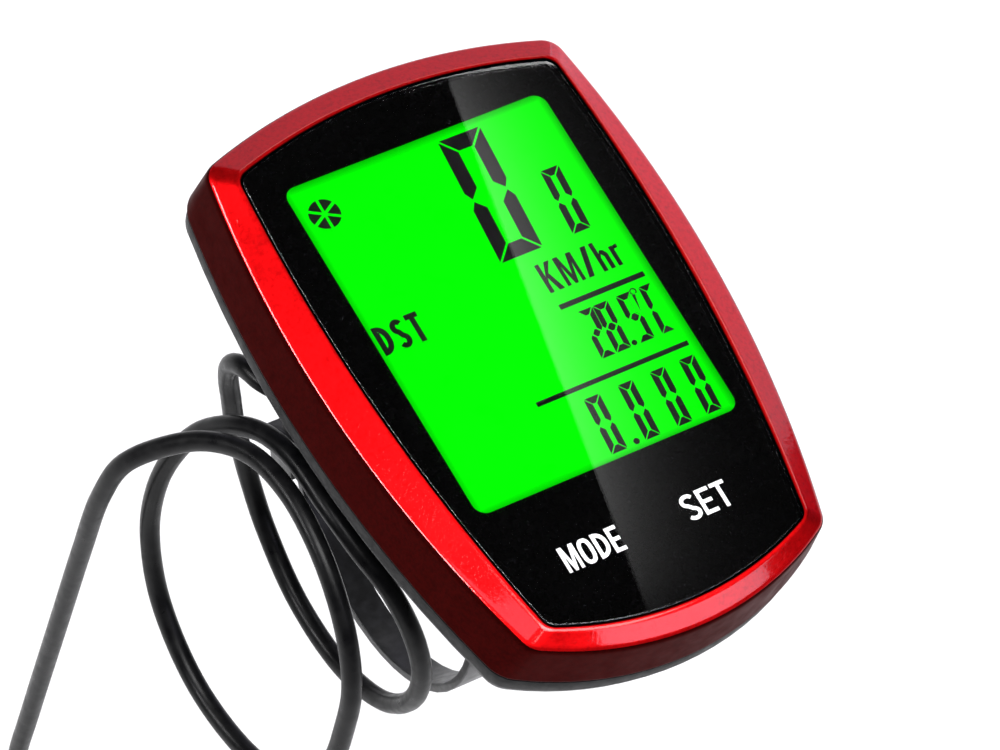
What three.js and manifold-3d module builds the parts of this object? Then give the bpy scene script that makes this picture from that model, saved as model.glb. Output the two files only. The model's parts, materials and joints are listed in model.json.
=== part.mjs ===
// Handlebar cycling computer: display head, slide-off bar bracket, wheel-sensor lead and fork sensor.
//
// Millimetres. The origin is on the axis of the handlebar, under the middle of the bracket's saddle.
// +X runs along the handlebar, to the rider's right. +Y is the top of the screen, pointing forward.
// +Z is straight up out of the screen.

import * as THREE from 'three'
import { mergeVertices } from 'three/addons/utils/BufferGeometryUtils.js'
import Module from 'manifold-3d'

const wasm = await Module()
wasm.setup()

// ---------------------------------------------------------------------------------------------
// Driving dimensions
// ---------------------------------------------------------------------------------------------

const BAR_R = 15.9 // 31.8 mm handlebar
const GAP = 0.3 // between pieces that touch
const FIT = 0.1 // between small pieces pressed together
const SINK = 0.4 // how far shapes joined into one body run into each other
const PAST = 1 // how far a cutting shape runs past the face it cuts

// Heights of the display head, all measured from the handlebar's axis
const LENS_TOP = 35
const LENS_T = 0.85
const RIDGE = { rise: 0.2, out: 0.9 } // the bezel's ridge, above and outside the lens
const CREASE_DROP = 1.45 // where the bevel meets the side wall
const PARTING_Z = 27.15
const SHELL_BAND = 2.2 // straight side of the back shell, under the parting line
const BACK_Z = 21.6
const BACK_EDGE = [[3.4, 0], [2, 0.6], [0.9, 1.7]] // rounded back edge: inset and height
const RIM = { inset: 0.15, wall: 1.4 } // the back shell's rim, inside the parting outline
const CASE_WALL = 1.8
const FLOOR_T = 1.3

// Outlines are barrel shapes about the screen's centre: two side arcs, a top arc and a bottom arc
const SCREEN_Y = 4.8 // the screen's centre, forward of the handlebar's axis
const LENS = {
  half: 19.5, sideR: 155, sideY: 4.7,
  top: 26.1, topR: 60, bottom: 36.6, bottomR: 33.5, corner: 1.6,
}
const CREASE = {
  half: 22.8, sideR: 132, sideY: 3.1,
  top: 29.4, topR: 62, bottom: 38.7, bottomR: 33, corner: 2.4,
}
const PARTING = {
  half: 24.1, sideR: 133, sideY: 3.1,
  top: 30.6, topR: 63, bottom: 39.2, bottomR: 34, corner: 4,
}

// Screen and electronics
const WINDOW = { w: 31, h: 40.3, corner: 1.45 }
const SHELF = { under: 32.85, top: 33.75, openW: 33, openH: 41.8 }
const MASK = { z: 33.85, t: 0.2, inset: 0.2 }
const LCD = { w: 32.4, h: 41.2, z: 32.3, t: 1.4 }
const GUIDE = { w: 32.4, h: 36.6, z: 29.6, t: 2.5 }
const STRIP = { w: 30, d: 1.8, z: 29.4, t: 2.8 }
const BOARD = { z: 28.6, t: 0.7, inset: 3.2 }
const BLOB = { x: -15, y: 19, r: 3.6, topR: 2.2, t: 1.2 }
const CRYSTAL = { x: 13.25, y: 20, w: 1.5, l: 6, t: 1.5 }
const GASKET = { inset: 2.15, w: 0.8, below: 1.2, above: 0.9 }

// Battery, its contacts, its well and the turning cover
const CELL = { r: 10, lidR: 8.7, z: 24.8, step: 2.4, t: 3.2 }
const SPRING = { reach: 6, bend: 4, w: 3, t: 0.2 }
const CLIP = { w: 4, t: 0.25, foot: 2.6, low: 0.8 }
const WELL = { outerR: 13.2, cellR: 10.8, coverR: 11.8, stepZ: 24.6, topZ: 27.6 }
const COVER = { r: 11.5, z: 21.7, t: 2.8, edge: 0.3, slotW: 1.9, slotL: 15, slotD: 1 }
const ORING = { r: 11.1, section: 0.45, z: 23.5, grooveD: 0.95, grooveHalf: 0.55 }

// Rear buttons under the MODE and SET legends, flush so that the bracket passes over them, and
// the switches they press
const BUTTON = { r: 3.4, edge: 0.6, flangeR: 4.1, flangeT: 0.8, pinR: 1.2, z: 21.65, y: -19.2 }
const BUTTON_X = { mode: -6.5, set: 7.5 }
const SWITCH = { half: 2.2, plungerR: 1.1, plungerL: 0.8, z: 26.1, travel: 0.5 }

// Screws and their posts, relative to the screen's centre
const SCREW = { shankR: 0.85, headR: 1.9, edge: 0.5, headT: 1.4, z: 22, length: 9.5, point: 0.8 }
const CROSS = { long: 1, short: 0.22, deep: 0.7 } // the screw's driver recess
const SCREW_PLACES = [[14, 23.6], [-14, 23.6], [9.5, -30.5], [-9.5, -30.5]]
const POST_R = 2.2
const SCREW_HOLE = { pilotR: 0.95, clearR: 1.15, play: 0.25 }

// Slide rail between head and bracket
const RAIL = { out: 16.3, web: 14.3, lipIn: 12.6, bottom: 17.8, lipTop: 19, y0: -13, y1: 15 }
const PLATE = { half: 14, top: 21.3, under: 19.3, y0: -15, y1: 19.5 }
const SADDLE = { half: 12.3, y: 15, r: 17.6, low: 10.5 }
const PAD = { inner: 16, outer: 17.3, half: 13.2, span: 50 }

// Contacts between head and bracket: a post above, a domed spring below
const CONTACT = { x: 4, y: 16.8, r: 1.2, holeR: 1.6, clear: 0.15 }
const DOME = { z: 20.2, shoulder: 20.9, topR: 0.7, slope: 21.35, top: 21.45, pocketZ: 19.9 }

// Cable ties round the handlebar
const TIE = { x: 8.5, inner: 17.3, t: 1, w: 3.6, z: 1.4, slotW: 4.4, slotPlay: 0.3 }
const TIE_HEAD = { w: 5.4, h: 4.4, l: 5.2, turn: -32 }
const TIE_TAIL = { out: 1.4, from: -2.2, to: 6.9, t: 1.1 }

// Wheel-sensor lead
const CABLE_R = 1.1
const WRAP_R = BAR_R + CABLE_R + 0.15
const EXIT = { x: -SADDLE.half, y: 12, z: 15.6 }
const EXIT_BOSS = { r: 2.1, inward: 3.2, socketR: 1.75, socket: 2.3, plug: 1.8 }
const BOOT = { plugR: 1.6, plugL: 2.2, flangeR: 1.95, flangeEnd: 3, tipR: 1.5, length: 4.6 }
const HANG_X = -33.6
const HANG_Y = 17.6
const COIL = { z: -100, r: 11.25, halfW: 3.5, halfT: 2.4 }
const COIL_TIE = { w: 3, t: 0.7 }

// Fork sensor, about its own centre
const SENSOR = { top: -130, length: 34, w: 14, d: 9, corner: 3, wall: 1.5, entryR: 1.8 }
const SENSOR_GROOVE = { z: 9.5, half: 2, deep: 0.7 }
const SENSOR_PAD_T = 1.8
const SENSOR_BOOT = { plugR: 1.5, plugL: 1.2, r: 2.5, tipR: 1.7, length: 6 }
const REED = { r: 1.1, half: 8, x: 0.5 }

// ---------------------------------------------------------------------------------------------
// Materials
// ---------------------------------------------------------------------------------------------

const finish = (color, roughness, metalness = 0) => ({ color, roughness, metalness })
const RED = finish(0xb80d12, 0.35, 0.4)
const BLACK_SHELL = finish(0x17181a, 0.5)
const BLACK_SATIN = finish(0x101112, 0.42)
const BLACK_GLOSS = finish(0x060606, 0.1)
const RUBBER = finish(0x1c1c1d, 0.8)
const CLEAR = finish(0xdfe8ea, 0.05)
const SCREEN_GREEN = finish(0x00ff00, 0.3)
const LIGHT_GUIDE = finish(0xd8f5d0, 0.2)
const BOARD_GREEN = finish(0x1c5b33, 0.5)
const EPOXY = finish(0x0c0c0c, 0.25)
const STEEL = finish(0xb7b9bb, 0.3, 1)
const BRASS = finish(0xc9a24a, 0.3, 1)
const NYLON = finish(0x141415, 0.45)

// ---------------------------------------------------------------------------------------------
// Solids
// ---------------------------------------------------------------------------------------------

function toSolid(geometry) {
  const bare = geometry.index ? geometry.toNonIndexed() : geometry.clone()
  for (const name of Object.keys(bare.attributes)) if (name !== 'position') bare.deleteAttribute(name)
  const merged = mergeVertices(bare, 1e-4)
  const mesh = new wasm.Mesh({
    numProp: 3,
    vertProperties: new Float32Array(merged.attributes.position.array),
    triVerts: new Uint32Array(merged.index.array),
  })
  return new wasm.Manifold(mesh)
}

function toGeometry(solid) {
  const { vertProperties, triVerts } = solid.getMesh()
  const geometry = new THREE.BufferGeometry()
  geometry.setAttribute('position', new THREE.BufferAttribute(new Float32Array(vertProperties), 3))
  geometry.setIndex(new THREE.BufferAttribute(new Uint32Array(triVerts), 1))
  return geometry
}

// The base geometry with every geometry in `added` joined on, and every one in `cut` taken away
function shaped(base, { added = [], cut = [] }) {
  let solid = toSolid(base)
  for (const piece of added) solid = solid.add(toSolid(piece))
  for (const piece of cut) solid = solid.subtract(toSolid(piece))
  return toGeometry(solid)
}

// A box from its lowest to its highest corner
function block(x0, x1, y0, y1, z0, z1) {
  const box = new THREE.BoxGeometry(x1 - x0, y1 - y0, z1 - z0)
  return box.translate((x0 + x1) / 2, (y0 + y1) / 2, (z0 + z1) / 2)
}

// A solid of revolution standing on +Z at (x, y); the profile is [radius, height] pairs
function turned(profile, x = 0, y = 0, segments = 32) {
  const points = profile.map(([r, z]) => new THREE.Vector2(r, z))
  return new THREE.LatheGeometry(points, segments).rotateX(Math.PI / 2).translate(x, y, 0)
}

// An upright cylinder from z0 to z1
function rod(r, z0, z1, x = 0, y = 0, segments = 20) {
  return turned([[0, z0], [r, z0], [r, z1], [0, z1]], x, y, segments)
}

// A solid of revolution about an axis parallel to X; the profile is [radius, x] pairs
function turnedAboutX(profile, y, z, segments) {
  return turned(profile, 0, 0, segments).rotateY(Math.PI / 2).translate(0, y, z)
}

function ringAboutX(inner, outer, x0, x1, y, z, segments) {
  return turnedAboutX([[inner, x0], [outer, x0], [outer, x1], [inner, x1], [inner, x0]], y, z, segments)
}

function rodAboutX(r, x0, x1, y, z, segments) {
  return turnedAboutX([[0, x0], [r, x0], [r, x1], [0, x1]], y, z, segments)
}

function roundedRect(w, h, r) {
  const shape = new THREE.Shape()
  const [x, y] = [w / 2, h / 2]
  shape.absarc(x - r, y - r, r, 0, Math.PI / 2)
  shape.absarc(-x + r, y - r, r, Math.PI / 2, Math.PI)
  shape.absarc(-x + r, -y + r, r, Math.PI, 1.5 * Math.PI)
  shape.absarc(x - r, -y + r, r, 1.5 * Math.PI, 2 * Math.PI)
  shape.closePath()
  return shape
}

// A rounded rectangular plate about (x, y), from z upward
function plate(w, h, r, z, t, x = 0, y = SCREEN_Y) {
  const settings = { depth: t, bevelEnabled: false, curveSegments: 3 }
  return new THREE.ExtrudeGeometry(roundedRect(w, h, r), settings).translate(x, y, z)
}

// The two X limits, in rising order, of a span that lies on one side of the middle
function sideways(side, near, far) {
  return side > 0 ? [near, far] : [-far, -near]
}

// ---------------------------------------------------------------------------------------------
// Barrel outlines and lofts between them
// ---------------------------------------------------------------------------------------------

const SIDE_STEPS = 12
const END_STEPS = 18
const CORNER_STEPS = 6

// The same outline, moved outward by d all round
function grow(o, d) {
  return {
    ...o,
    half: o.half + d,
    sideR: o.sideR + d,
    top: o.top + d,
    topR: o.topR + d,
    bottom: o.bottom + d,
    bottomR: o.bottomR + d,
    corner: Math.max(o.corner + d, 0.4),
  }
}

// Where a circle about (0, y) meets a circle about (x, sideY), on the +X side, above or below
function cornerCentre(x, sideY, sideR, y, endR, up) {
  const gap = Math.hypot(x, sideY - y)
  const along = (endR ** 2 - sideR ** 2 + gap ** 2) / (2 * gap)
  const across = Math.sqrt(endR ** 2 - along ** 2)
  const [ux, uy] = [x / gap, (sideY - y) / gap]
  const found = [1, -1].map((s) => [along * ux - s * across * uy, y + along * uy + s * across * ux])
  return found.filter(([px]) => px > 0).sort((a, b) => up * (b[1] - a[1]))[0]
}

// The outline's points, anticlockwise from the lower right corner, about the screen's centre
function outlinePoints(o) {
  const sideX = o.half - o.sideR
  const topY = o.top - o.topR
  const bottomY = o.bottomR - o.bottom
  const upper = cornerCentre(sideX, o.sideY, o.sideR - o.corner, topY, o.topR - o.corner, 1)
  const lower = cornerCentre(sideX, o.sideY, o.sideR - o.corner, bottomY, o.bottomR - o.corner, -1)
  const angle = (c, x, y) => Math.atan2(c[1] - y, c[0] - x)
  const sideLow = angle(lower, sideX, o.sideY)
  const sideHigh = angle(upper, sideX, o.sideY)
  const topStart = angle(upper, 0, topY)
  const bottomEnd = angle(lower, 0, bottomY)
  const points = []
  const arc = (cx, cy, r, from, to, steps) => {
    for (let i = 0; i < steps; i++) {
      const a = from + ((to - from) * i) / steps
      points.push([cx + r * Math.cos(a), cy + r * Math.sin(a)])
    }
  }
  arc(sideX, o.sideY, o.sideR, sideLow, sideHigh, SIDE_STEPS)
  arc(upper[0], upper[1], o.corner, sideHigh, topStart, CORNER_STEPS)
  arc(0, topY, o.topR, topStart, Math.PI - topStart, END_STEPS)
  arc(-upper[0], upper[1], o.corner, Math.PI - topStart, Math.PI - sideHigh, CORNER_STEPS)
  arc(-sideX, o.sideY, o.sideR, Math.PI - sideHigh, Math.PI - sideLow, SIDE_STEPS)
  arc(-lower[0], lower[1], o.corner, Math.PI - sideLow, Math.PI - bottomEnd, CORNER_STEPS)
  arc(0, bottomY, o.bottomR, -Math.PI - bottomEnd, bottomEnd, END_STEPS)
  arc(lower[0], lower[1], o.corner, bottomEnd, sideLow, CORNER_STEPS)
  return points
}

// A body skinned through [outline, z] levels: closed round on itself, or capped at both ends
function loft(levels, capped) {
  const ringAt = ([outline, z]) => outlinePoints(outline).map(([x, y]) => [x, y + SCREEN_Y, z])
  const rings = levels.map(ringAt)
  const count = rings[0].length
  const positions = rings.flat(2)
  const index = []
  const spans = capped ? rings.length - 1 : rings.length
  for (let level = 0; level < spans; level++) {
    const next = (level + 1) % rings.length
    for (let i = 0; i < count; i++) {
      const j = (i + 1) % count
      const [a, b, c, d] = [level * count + i, level * count + j, next * count + j, next * count + i]
      index.push(a, b, c, a, c, d)
    }
  }
  if (capped) {
    const first = rings.length * count
    positions.push(0, SCREEN_Y, levels[0][1], 0, SCREEN_Y, levels.at(-1)[1])
    const last = (rings.length - 1) * count
    for (let i = 0; i < count; i++) {
      const j = (i + 1) % count
      index.push(first, j, i, first + 1, last + i, last + j)
    }
  }
  const geometry = new THREE.BufferGeometry()
  geometry.setAttribute('position', new THREE.BufferAttribute(new Float32Array(positions), 3))
  geometry.setIndex(index)
  return geometry
}

const screwSpots = SCREW_PLACES.map(([x, y]) => [x, y + SCREEN_Y])

// An upright rod at each screw
const rodsAtScrews = (r, z0, z1, segments = 16) => screwSpots.map(([x, y]) => rod(r, z0, z1, x, y, segments))

// ---------------------------------------------------------------------------------------------
// Display head
// ---------------------------------------------------------------------------------------------

function bezel() {
  const mouth = grow(LENS, GAP)
  const outside = loft([
    [PARTING, PARTING_Z],
    [CREASE, LENS_TOP - CREASE_DROP],
    [grow(LENS, RIDGE.out), LENS_TOP + RIDGE.rise],
    [mouth, LENS_TOP - RIDGE.rise],
  ], true)
  const lensPocket = loft([[mouth, SHELF.top], [mouth, LENS_TOP + PAST]], true)
  const inside = loft([
    [grow(PARTING, -CASE_WALL), PARTING_Z - PAST],
    [grow(PARTING, -CASE_WALL), PARTING_Z],
    [grow(CREASE, -CASE_WALL), SHELF.under],
  ], true)
  const opening = plate(SHELF.openW, SHELF.openH, WINDOW.corner, SHELF.under - PAST, 3 * PAST)
  const frame = shaped(outside, { cut: [lensPocket, inside, opening] })
  const posts = rodsAtScrews(POST_R, PARTING_Z + 0.2, SHELF.top - GAP)
  const pilots = rodsAtScrews(SCREW_HOLE.pilotR, PARTING_Z - PAST, SHELF.under - SINK, 12)
  return shaped(frame, { added: posts, cut: pilots })
}

function lens() {
  const chamfer = 0.25
  return loft([
    [LENS, LENS_TOP - LENS_T],
    [LENS, LENS_TOP - chamfer],
    [grow(LENS, -chamfer), LENS_TOP],
  ], true)
}

// The black border behind the lens, with the screen's window in it
function lensMask() {
  const outline = grow(LENS, -MASK.inset)
  const film = loft([[outline, MASK.z], [outline, MASK.z + MASK.t]], true)
  return shaped(film, { cut: [plate(WINDOW.w, WINDOW.h, WINDOW.corner, MASK.z - PAST, 2 * PAST)] })
}

function circuitBoard() {
  const outline = grow(PARTING, -BOARD.inset)
  const board = loft([[outline, BOARD.z], [outline, BOARD.z + BOARD.t]], true)
  return shaped(board, { cut: rodsAtScrews(POST_R + SINK, BOARD.z - PAST, BOARD.z + 2 * PAST) })
}

// The epoxy drop over the display driver, under the board
function processorBlob() {
  const top = BOARD.z - FIT
  return turned([[0, top - BLOB.t], [BLOB.topR, top - BLOB.t + 0.2], [BLOB.r, top], [0, top]], 0, 0, 16)
}

function backShell() {
  const skin = loft([
    ...BACK_EDGE.map(([inset, height]) => [grow(PARTING, -inset), BACK_Z + height]),
    [grow(PARTING, -RIM.inset - 0.1), PARTING_Z - SHELL_BAND],
    [grow(PARTING, -RIM.inset), PARTING_Z - GAP],
    [grow(PARTING, -RIM.inset - RIM.wall), PARTING_Z - GAP],
    [grow(PARTING, -CASE_WALL), PARTING_Z - SHELL_BAND],
    [grow(PARTING, -2 * CASE_WALL), BACK_Z + FLOOR_T],
  ], true)
  const low = BACK_Z - PAST
  const onFloor = BACK_Z + SINK
  const well = rod(WELL.outerR, onFloor, WELL.topZ, 0, 0, 40)
  const posts = rodsAtScrews(POST_R, onFloor, PARTING_Z - FIT)
  const rails = [1, -1].flatMap((side) => [
    block(...sideways(side, RAIL.web, RAIL.out), RAIL.y0, RAIL.y1, RAIL.bottom, onFloor),
    block(...sideways(side, RAIL.lipIn, RAIL.out), RAIL.y0, RAIL.y1, RAIL.bottom, RAIL.lipTop),
  ])
  const holes = [
    rod(WELL.cellR, WELL.stepZ - PAST, WELL.topZ + PAST, 0, 0, 40),
    rod(WELL.coverR, low, WELL.stepZ, 0, 0, 40),
    ...rodsAtScrews(SCREW_HOLE.clearR, low, PARTING_Z + PAST, 12),
    ...rodsAtScrews(SCREW.headR + SCREW_HOLE.play, low, SCREW.z + SCREW.headT + 0.2),
    ...Object.values(BUTTON_X).map((x) => rod(BUTTON.r + GAP, low, low + 4 * PAST, x, BUTTON.y)),
    ...[1, -1].map((side) => rod(CONTACT.holeR, low, low + 4 * PAST, side * CONTACT.x, CONTACT.y, 16)),
  ]
  return shaped(skin, { added: [well, ...posts, ...rails], cut: holes })
}

// A seal that follows the parting line, between the bezel's rim and the shell's rim
function caseGasket() {
  const [outer, inner] = [grow(PARTING, -GASKET.inset), grow(PARTING, -GASKET.inset - GASKET.w)]
  const [z0, z1] = [PARTING_Z - GASKET.below, PARTING_Z + GASKET.above]
  const ring = loft([[outer, z0], [outer, z1], [inner, z1], [inner, z0]], false)
  return shaped(ring, { cut: rodsAtScrews(POST_R + GAP, z0 - PAST, z1 + PAST) })
}

function batteryCover() {
  const { r, z, t, edge } = COVER
  const grooveR = r - ORING.grooveD
  const [low, high] = [ORING.z - ORING.grooveHalf, ORING.z + ORING.grooveHalf]
  const disc = turned([
    [0, z], [r - edge, z], [r, z + edge], [r, low], [grooveR, low], [grooveR, high],
    [r, high], [r, z + t], [0, z + t],
  ], 0, 0, 40)
  const slot = plate(COVER.slotL, COVER.slotW, 0.9, z - PAST, PAST + COVER.slotD, 0, 0)
  return shaped(disc, { cut: [slot] })
}

function coinCell() {
  const { r, lidR, z, step, t } = CELL
  return turned([[0, z], [r, z], [r, z + step], [lidR, z + t], [0, z + t]], 0, 0, 36)
}

// A leaf spring under the board, bowed down to the cell's negative face
function batterySpring() {
  const { reach, bend, w, t } = SPRING
  const top = BOARD.z - FIT
  const bow = 2 * (CELL.z + CELL.t + 0.12) - top
  const strip = new THREE.Shape()
  strip.moveTo(-reach, top - t)
  strip.lineTo(-bend, top - t)
  strip.quadraticCurveTo(0, bow + t, bend, top - t)
  strip.lineTo(reach, top - t)
  strip.lineTo(reach, top)
  strip.lineTo(bend, top)
  strip.quadraticCurveTo(0, bow + 2 * t, -bend, top)
  strip.lineTo(-reach, top)
  strip.closePath()
  const leaf = new THREE.ExtrudeGeometry(strip, { depth: w, bevelEnabled: false, curveSegments: 8 })
  return leaf.translate(0, 0, -w / 2).rotateX(Math.PI / 2)
}

// A strip that stands against the cell's edge and turns over onto the board
function batteryClip() {
  const { w, t, foot, low } = CLIP
  const [near, top] = [-CELL.r - FIT, BOARD.z - FIT]
  const upright = block(-w / 2, w / 2, near - t, near, CELL.z + low, top)
  return shaped(upright, { added: [block(-w / 2, w / 2, near - foot, near, top - t, top)] })
}

// A push button about its own axis: cap, flange inside the shell, and the pin up to its switch
function pushButton() {
  const { r, edge, flangeR, flangeT, pinR, z } = BUTTON
  const flange = BACK_Z + FLOOR_T + GAP
  const top = SWITCH.z - SWITCH.travel - FIT
  return turned([
    [0, z], [r - edge, z], [r, z + edge], [r, flange], [flangeR, flange], [flangeR, flange + flangeT],
    [pinR, flange + flangeT], [pinR, top], [0, top],
  ], 0, 0, 20)
}

// A tact switch about its own axis, its body with its plunger
function tactSwitch() {
  const { half, plungerR, plungerL, z } = SWITCH
  const body = block(-half, half, -half, half, z + plungerL, BOARD.z - FIT)
  return shaped(body, { added: [rod(plungerR, z, z + plungerL + 0.2, 0, 0, 16)] })
}

// A case screw about its own axis
function screw() {
  const { shankR, headR, edge, headT, z, length, point } = SCREW
  const shank = turned([
    [0, z], [headR - edge, z], [headR, z + edge], [headR, z + headT], [shankR, z + headT],
    [shankR, z + length - point], [0, z + length],
  ], 0, 0, 16)
  const { long, short, deep } = CROSS
  const bars = [[long, short], [short, long]].map(([x, y]) => block(-x, x, -y, y, z - PAST, z + deep))
  return shaped(shank, { cut: bars })
}

// ---------------------------------------------------------------------------------------------
// Handlebar bracket
// ---------------------------------------------------------------------------------------------

function bracketBase() {
  const body = block(-SADDLE.half, SADDLE.half, -SADDLE.y, SADDLE.y, SADDLE.low, PLATE.top)
  const top = block(-PLATE.half, PLATE.half, PLATE.y0, PLATE.y1, PLATE.under, PLATE.top)
  const stops = [1, -1].map((side) => {
    const [x0, x1] = sideways(side, SADDLE.half - SINK, RAIL.out - SINK)
    return block(x0, x1, PLATE.y0, RAIL.y0 - GAP, RAIL.bottom + 0.2, PLATE.top)
  })
  const boss = rodAboutX(EXIT_BOSS.r, EXIT.x - SINK, EXIT.x + EXIT_BOSS.inward, EXIT.y, EXIT.z, 24)
  const bar = rodAboutX(SADDLE.r, -2 * SADDLE.half, 2 * SADDLE.half, 0, 0, 48)
  const [slotIn, slotOut] = [TIE.inner - TIE.slotPlay, TIE.inner + TIE.t + TIE.slotPlay]
  const tunnels = [1, -1].map((side) => {
    const x = side * TIE.x
    return ringAboutX(slotIn, slotOut, x - TIE.slotW / 2, x + TIE.slotW / 2, 0, TIE.z, 48)
  })
  const pockets = [1, -1].map((side) =>
    rod(CONTACT.r + GAP, DOME.pocketZ, PLATE.top + PAST, side * CONTACT.x, CONTACT.y, 16))
  const socket = rodAboutX(EXIT_BOSS.socketR, EXIT.x - PAST, EXIT.x + EXIT_BOSS.socket, EXIT.y, EXIT.z, 20)
  return shaped(body, { added: [top, ...stops, boss], cut: [bar, ...tunnels, ...pockets, socket] })
}

// A rubber liner between the saddle and the handlebar, covering the top of the bar
function barPad() {
  const shape = new THREE.Shape()
  const half = THREE.MathUtils.degToRad(PAD.span)
  shape.absarc(0, 0, PAD.outer, Math.PI / 2 - half, Math.PI / 2 + half)
  shape.absarc(0, 0, PAD.inner, Math.PI / 2 + half, Math.PI / 2 - half, true)
  shape.closePath()
  const settings = { depth: 2 * PAD.half, bevelEnabled: false, curveSegments: 18 }
  const strip = new THREE.ExtrudeGeometry(shape, settings)
  return strip.translate(0, 0, -PAD.half).rotateX(Math.PI / 2).rotateZ(Math.PI / 2)
}

// A closed strap about the handlebar with its ratchet head and trimmed tail at the front
function cableTie() {
  const { inner, t, w } = TIE
  const strap = ringAboutX(inner, inner + t, -w / 2, w / 2, 0, 0, 48)
  const out = inner + FIT
  const [headX, headZ] = [TIE_HEAD.w / 2, TIE_HEAD.l / 2]
  const head = block(-headX, headX, out, out + TIE_HEAD.h, -headZ, headZ)
  const tailY = out + TIE_TAIL.out
  const tail = block(-w / 2, w / 2, tailY, tailY + TIE_TAIL.t, TIE_TAIL.from, TIE_TAIL.to)
  const turn = THREE.MathUtils.degToRad(TIE_HEAD.turn)
  return shaped(strap, { added: [head.rotateX(turn), tail.rotateX(turn)] })
}

function contactSpring() {
  const { z, shoulder, topR, slope, top } = DOME
  return turned([[0, z], [CONTACT.r, z], [CONTACT.r, shoulder], [topR, slope], [0, top]], 0, 0, 16)
}

// ---------------------------------------------------------------------------------------------
// Wheel-sensor lead
// ---------------------------------------------------------------------------------------------

// The rubber boot that guides the lead out of the bracket, pointing along -X from its plug end
function cableBoot() {
  const { plugR, plugL, flangeR, flangeEnd, tipR, length } = BOOT
  const profile = [
    [0, 0], [plugR, 0], [plugR, plugL], [flangeR, plugL + 0.1], [flangeR, flangeEnd], [tipR, length],
    [0, length],
  ]
  return turned(profile, 0, 0, 24).rotateY(-Math.PI / 2)
}

// A point on the handlebar's surface, or `away` beyond it; the angle runs from +Z towards +Y
function onBar(x, degrees, away = 0) {
  const a = THREE.MathUtils.degToRad(degrees)
  return new THREE.Vector3(x, (WRAP_R + away) * Math.sin(a), (WRAP_R + away) * Math.cos(a))
}

// The lead leaves the bracket, winds round the handlebar with a slack loop under it, and hangs
const LEAD_ROUTE = [
  new THREE.Vector3(-15.4, 12, 15.6),
  new THREE.Vector3(-16.7, 12.2, 15.6),
  new THREE.Vector3(-17.9, 12.8, 15.65),
  new THREE.Vector3(-18.9, 13.7, 15.7),
  new THREE.Vector3(-19.6, 15, 15.6),
  new THREE.Vector3(-19.9, 16.5, 15.2),
  new THREE.Vector3(-20, 17.9, 14.2),
  new THREE.Vector3(-19.9, 19, 12.6),
  new THREE.Vector3(-19.6, 19.6, 10.4),
  new THREE.Vector3(-19.1, 19.6, 7.6),
  new THREE.Vector3(-18.5, 19, 4.4),
  onBar(-17.8, 88, 1.2),
  onBar(-16.9, 101, 0.5),
  onBar(-16, 118, 0.1),
  onBar(-15.2, 142),
  onBar(-14.8, 170),
  onBar(-14.6, 200),
  onBar(-14.6, 230),
  onBar(-14.8, 258),
  onBar(-15.3, 280),
  onBar(-16.4, 300),
  onBar(-18, 320),
  onBar(-19.9, 338),
  onBar(-20.9, 355),
  onBar(-21.1, 378),
  onBar(-21.5, 396),
  onBar(-22.7, 412),
  onBar(-24.2, 432),
  onBar(-25.8, 452),
  onBar(-26.8, 470, 0.7),
  onBar(-27.2, 491, 2.8),
  onBar(-27, 514, 6),
  onBar(-26.4, 537, 8.2),
  onBar(-25.6, 560, 8.2),
  onBar(-24.9, 584, 5.8),
  onBar(-24.4, 606, 2.6),
  onBar(-24.1, 626, 0.5),
  onBar(-23.9, 650),
  onBar(-23.9, 676),
  onBar(-23.8, 702),
  onBar(-23.8, 726),
  onBar(-24.5, 748),
  onBar(-26.6, 767),
  onBar(-29.6, 784),
  onBar(-32.2, 800, 0.2),
  new THREE.Vector3(-33.4, HANG_Y - 0.1, -3.5),
  new THREE.Vector3(HANG_X, HANG_Y, -16),
  new THREE.Vector3(HANG_X, HANG_Y, -32),
  new THREE.Vector3(HANG_X, HANG_Y, -48),
  new THREE.Vector3(HANG_X, HANG_Y, -63),
  new THREE.Vector3(HANG_X, HANG_Y + 0.4, COIL.z + 22),
  new THREE.Vector3(HANG_X - 1.7, HANG_Y + 3.2, COIL.z + 15.4),
]

// Down from the coil to the sensor's boot
const TAIL_ROUTE = [
  new THREE.Vector3(HANG_X - 3.8, HANG_Y + 4.7, COIL.z - 14.5),
  new THREE.Vector3(HANG_X - 3.1, HANG_Y + 3.2, COIL.z - 16.2),
  new THREE.Vector3(HANG_X - 1.3, HANG_Y + 1.3, COIL.z - 19),
  new THREE.Vector3(HANG_X - 0.1, HANG_Y + 0.1, COIL.z - 22),
  new THREE.Vector3(HANG_X, HANG_Y, SENSOR.top + 6.3),
]

// A tube of eight sides along a route
function cable(route, steps) {
  const sides = 8
  const section = new THREE.Shape()
  for (let i = 0; i < sides; i++) {
    const a = ((i + 0.5) / sides) * 2 * Math.PI
    const point = [CABLE_R * Math.cos(a), CABLE_R * Math.sin(a)]
    if (i === 0) section.moveTo(...point)
    else section.lineTo(...point)
  }
  section.closePath()
  const path = new THREE.CatmullRomCurve3(route, false, 'centripetal')
  return new THREE.ExtrudeGeometry(section, { steps, extrudePath: path, bevelEnabled: false })
}

// The outer shape of the coiled part of the lead, about the coil's centre
function cableCoil() {
  const { r, halfT, halfW } = COIL
  return ringAboutX(r - halfT, r + halfT, -halfW, halfW, 0, 0, 40)
}

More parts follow.
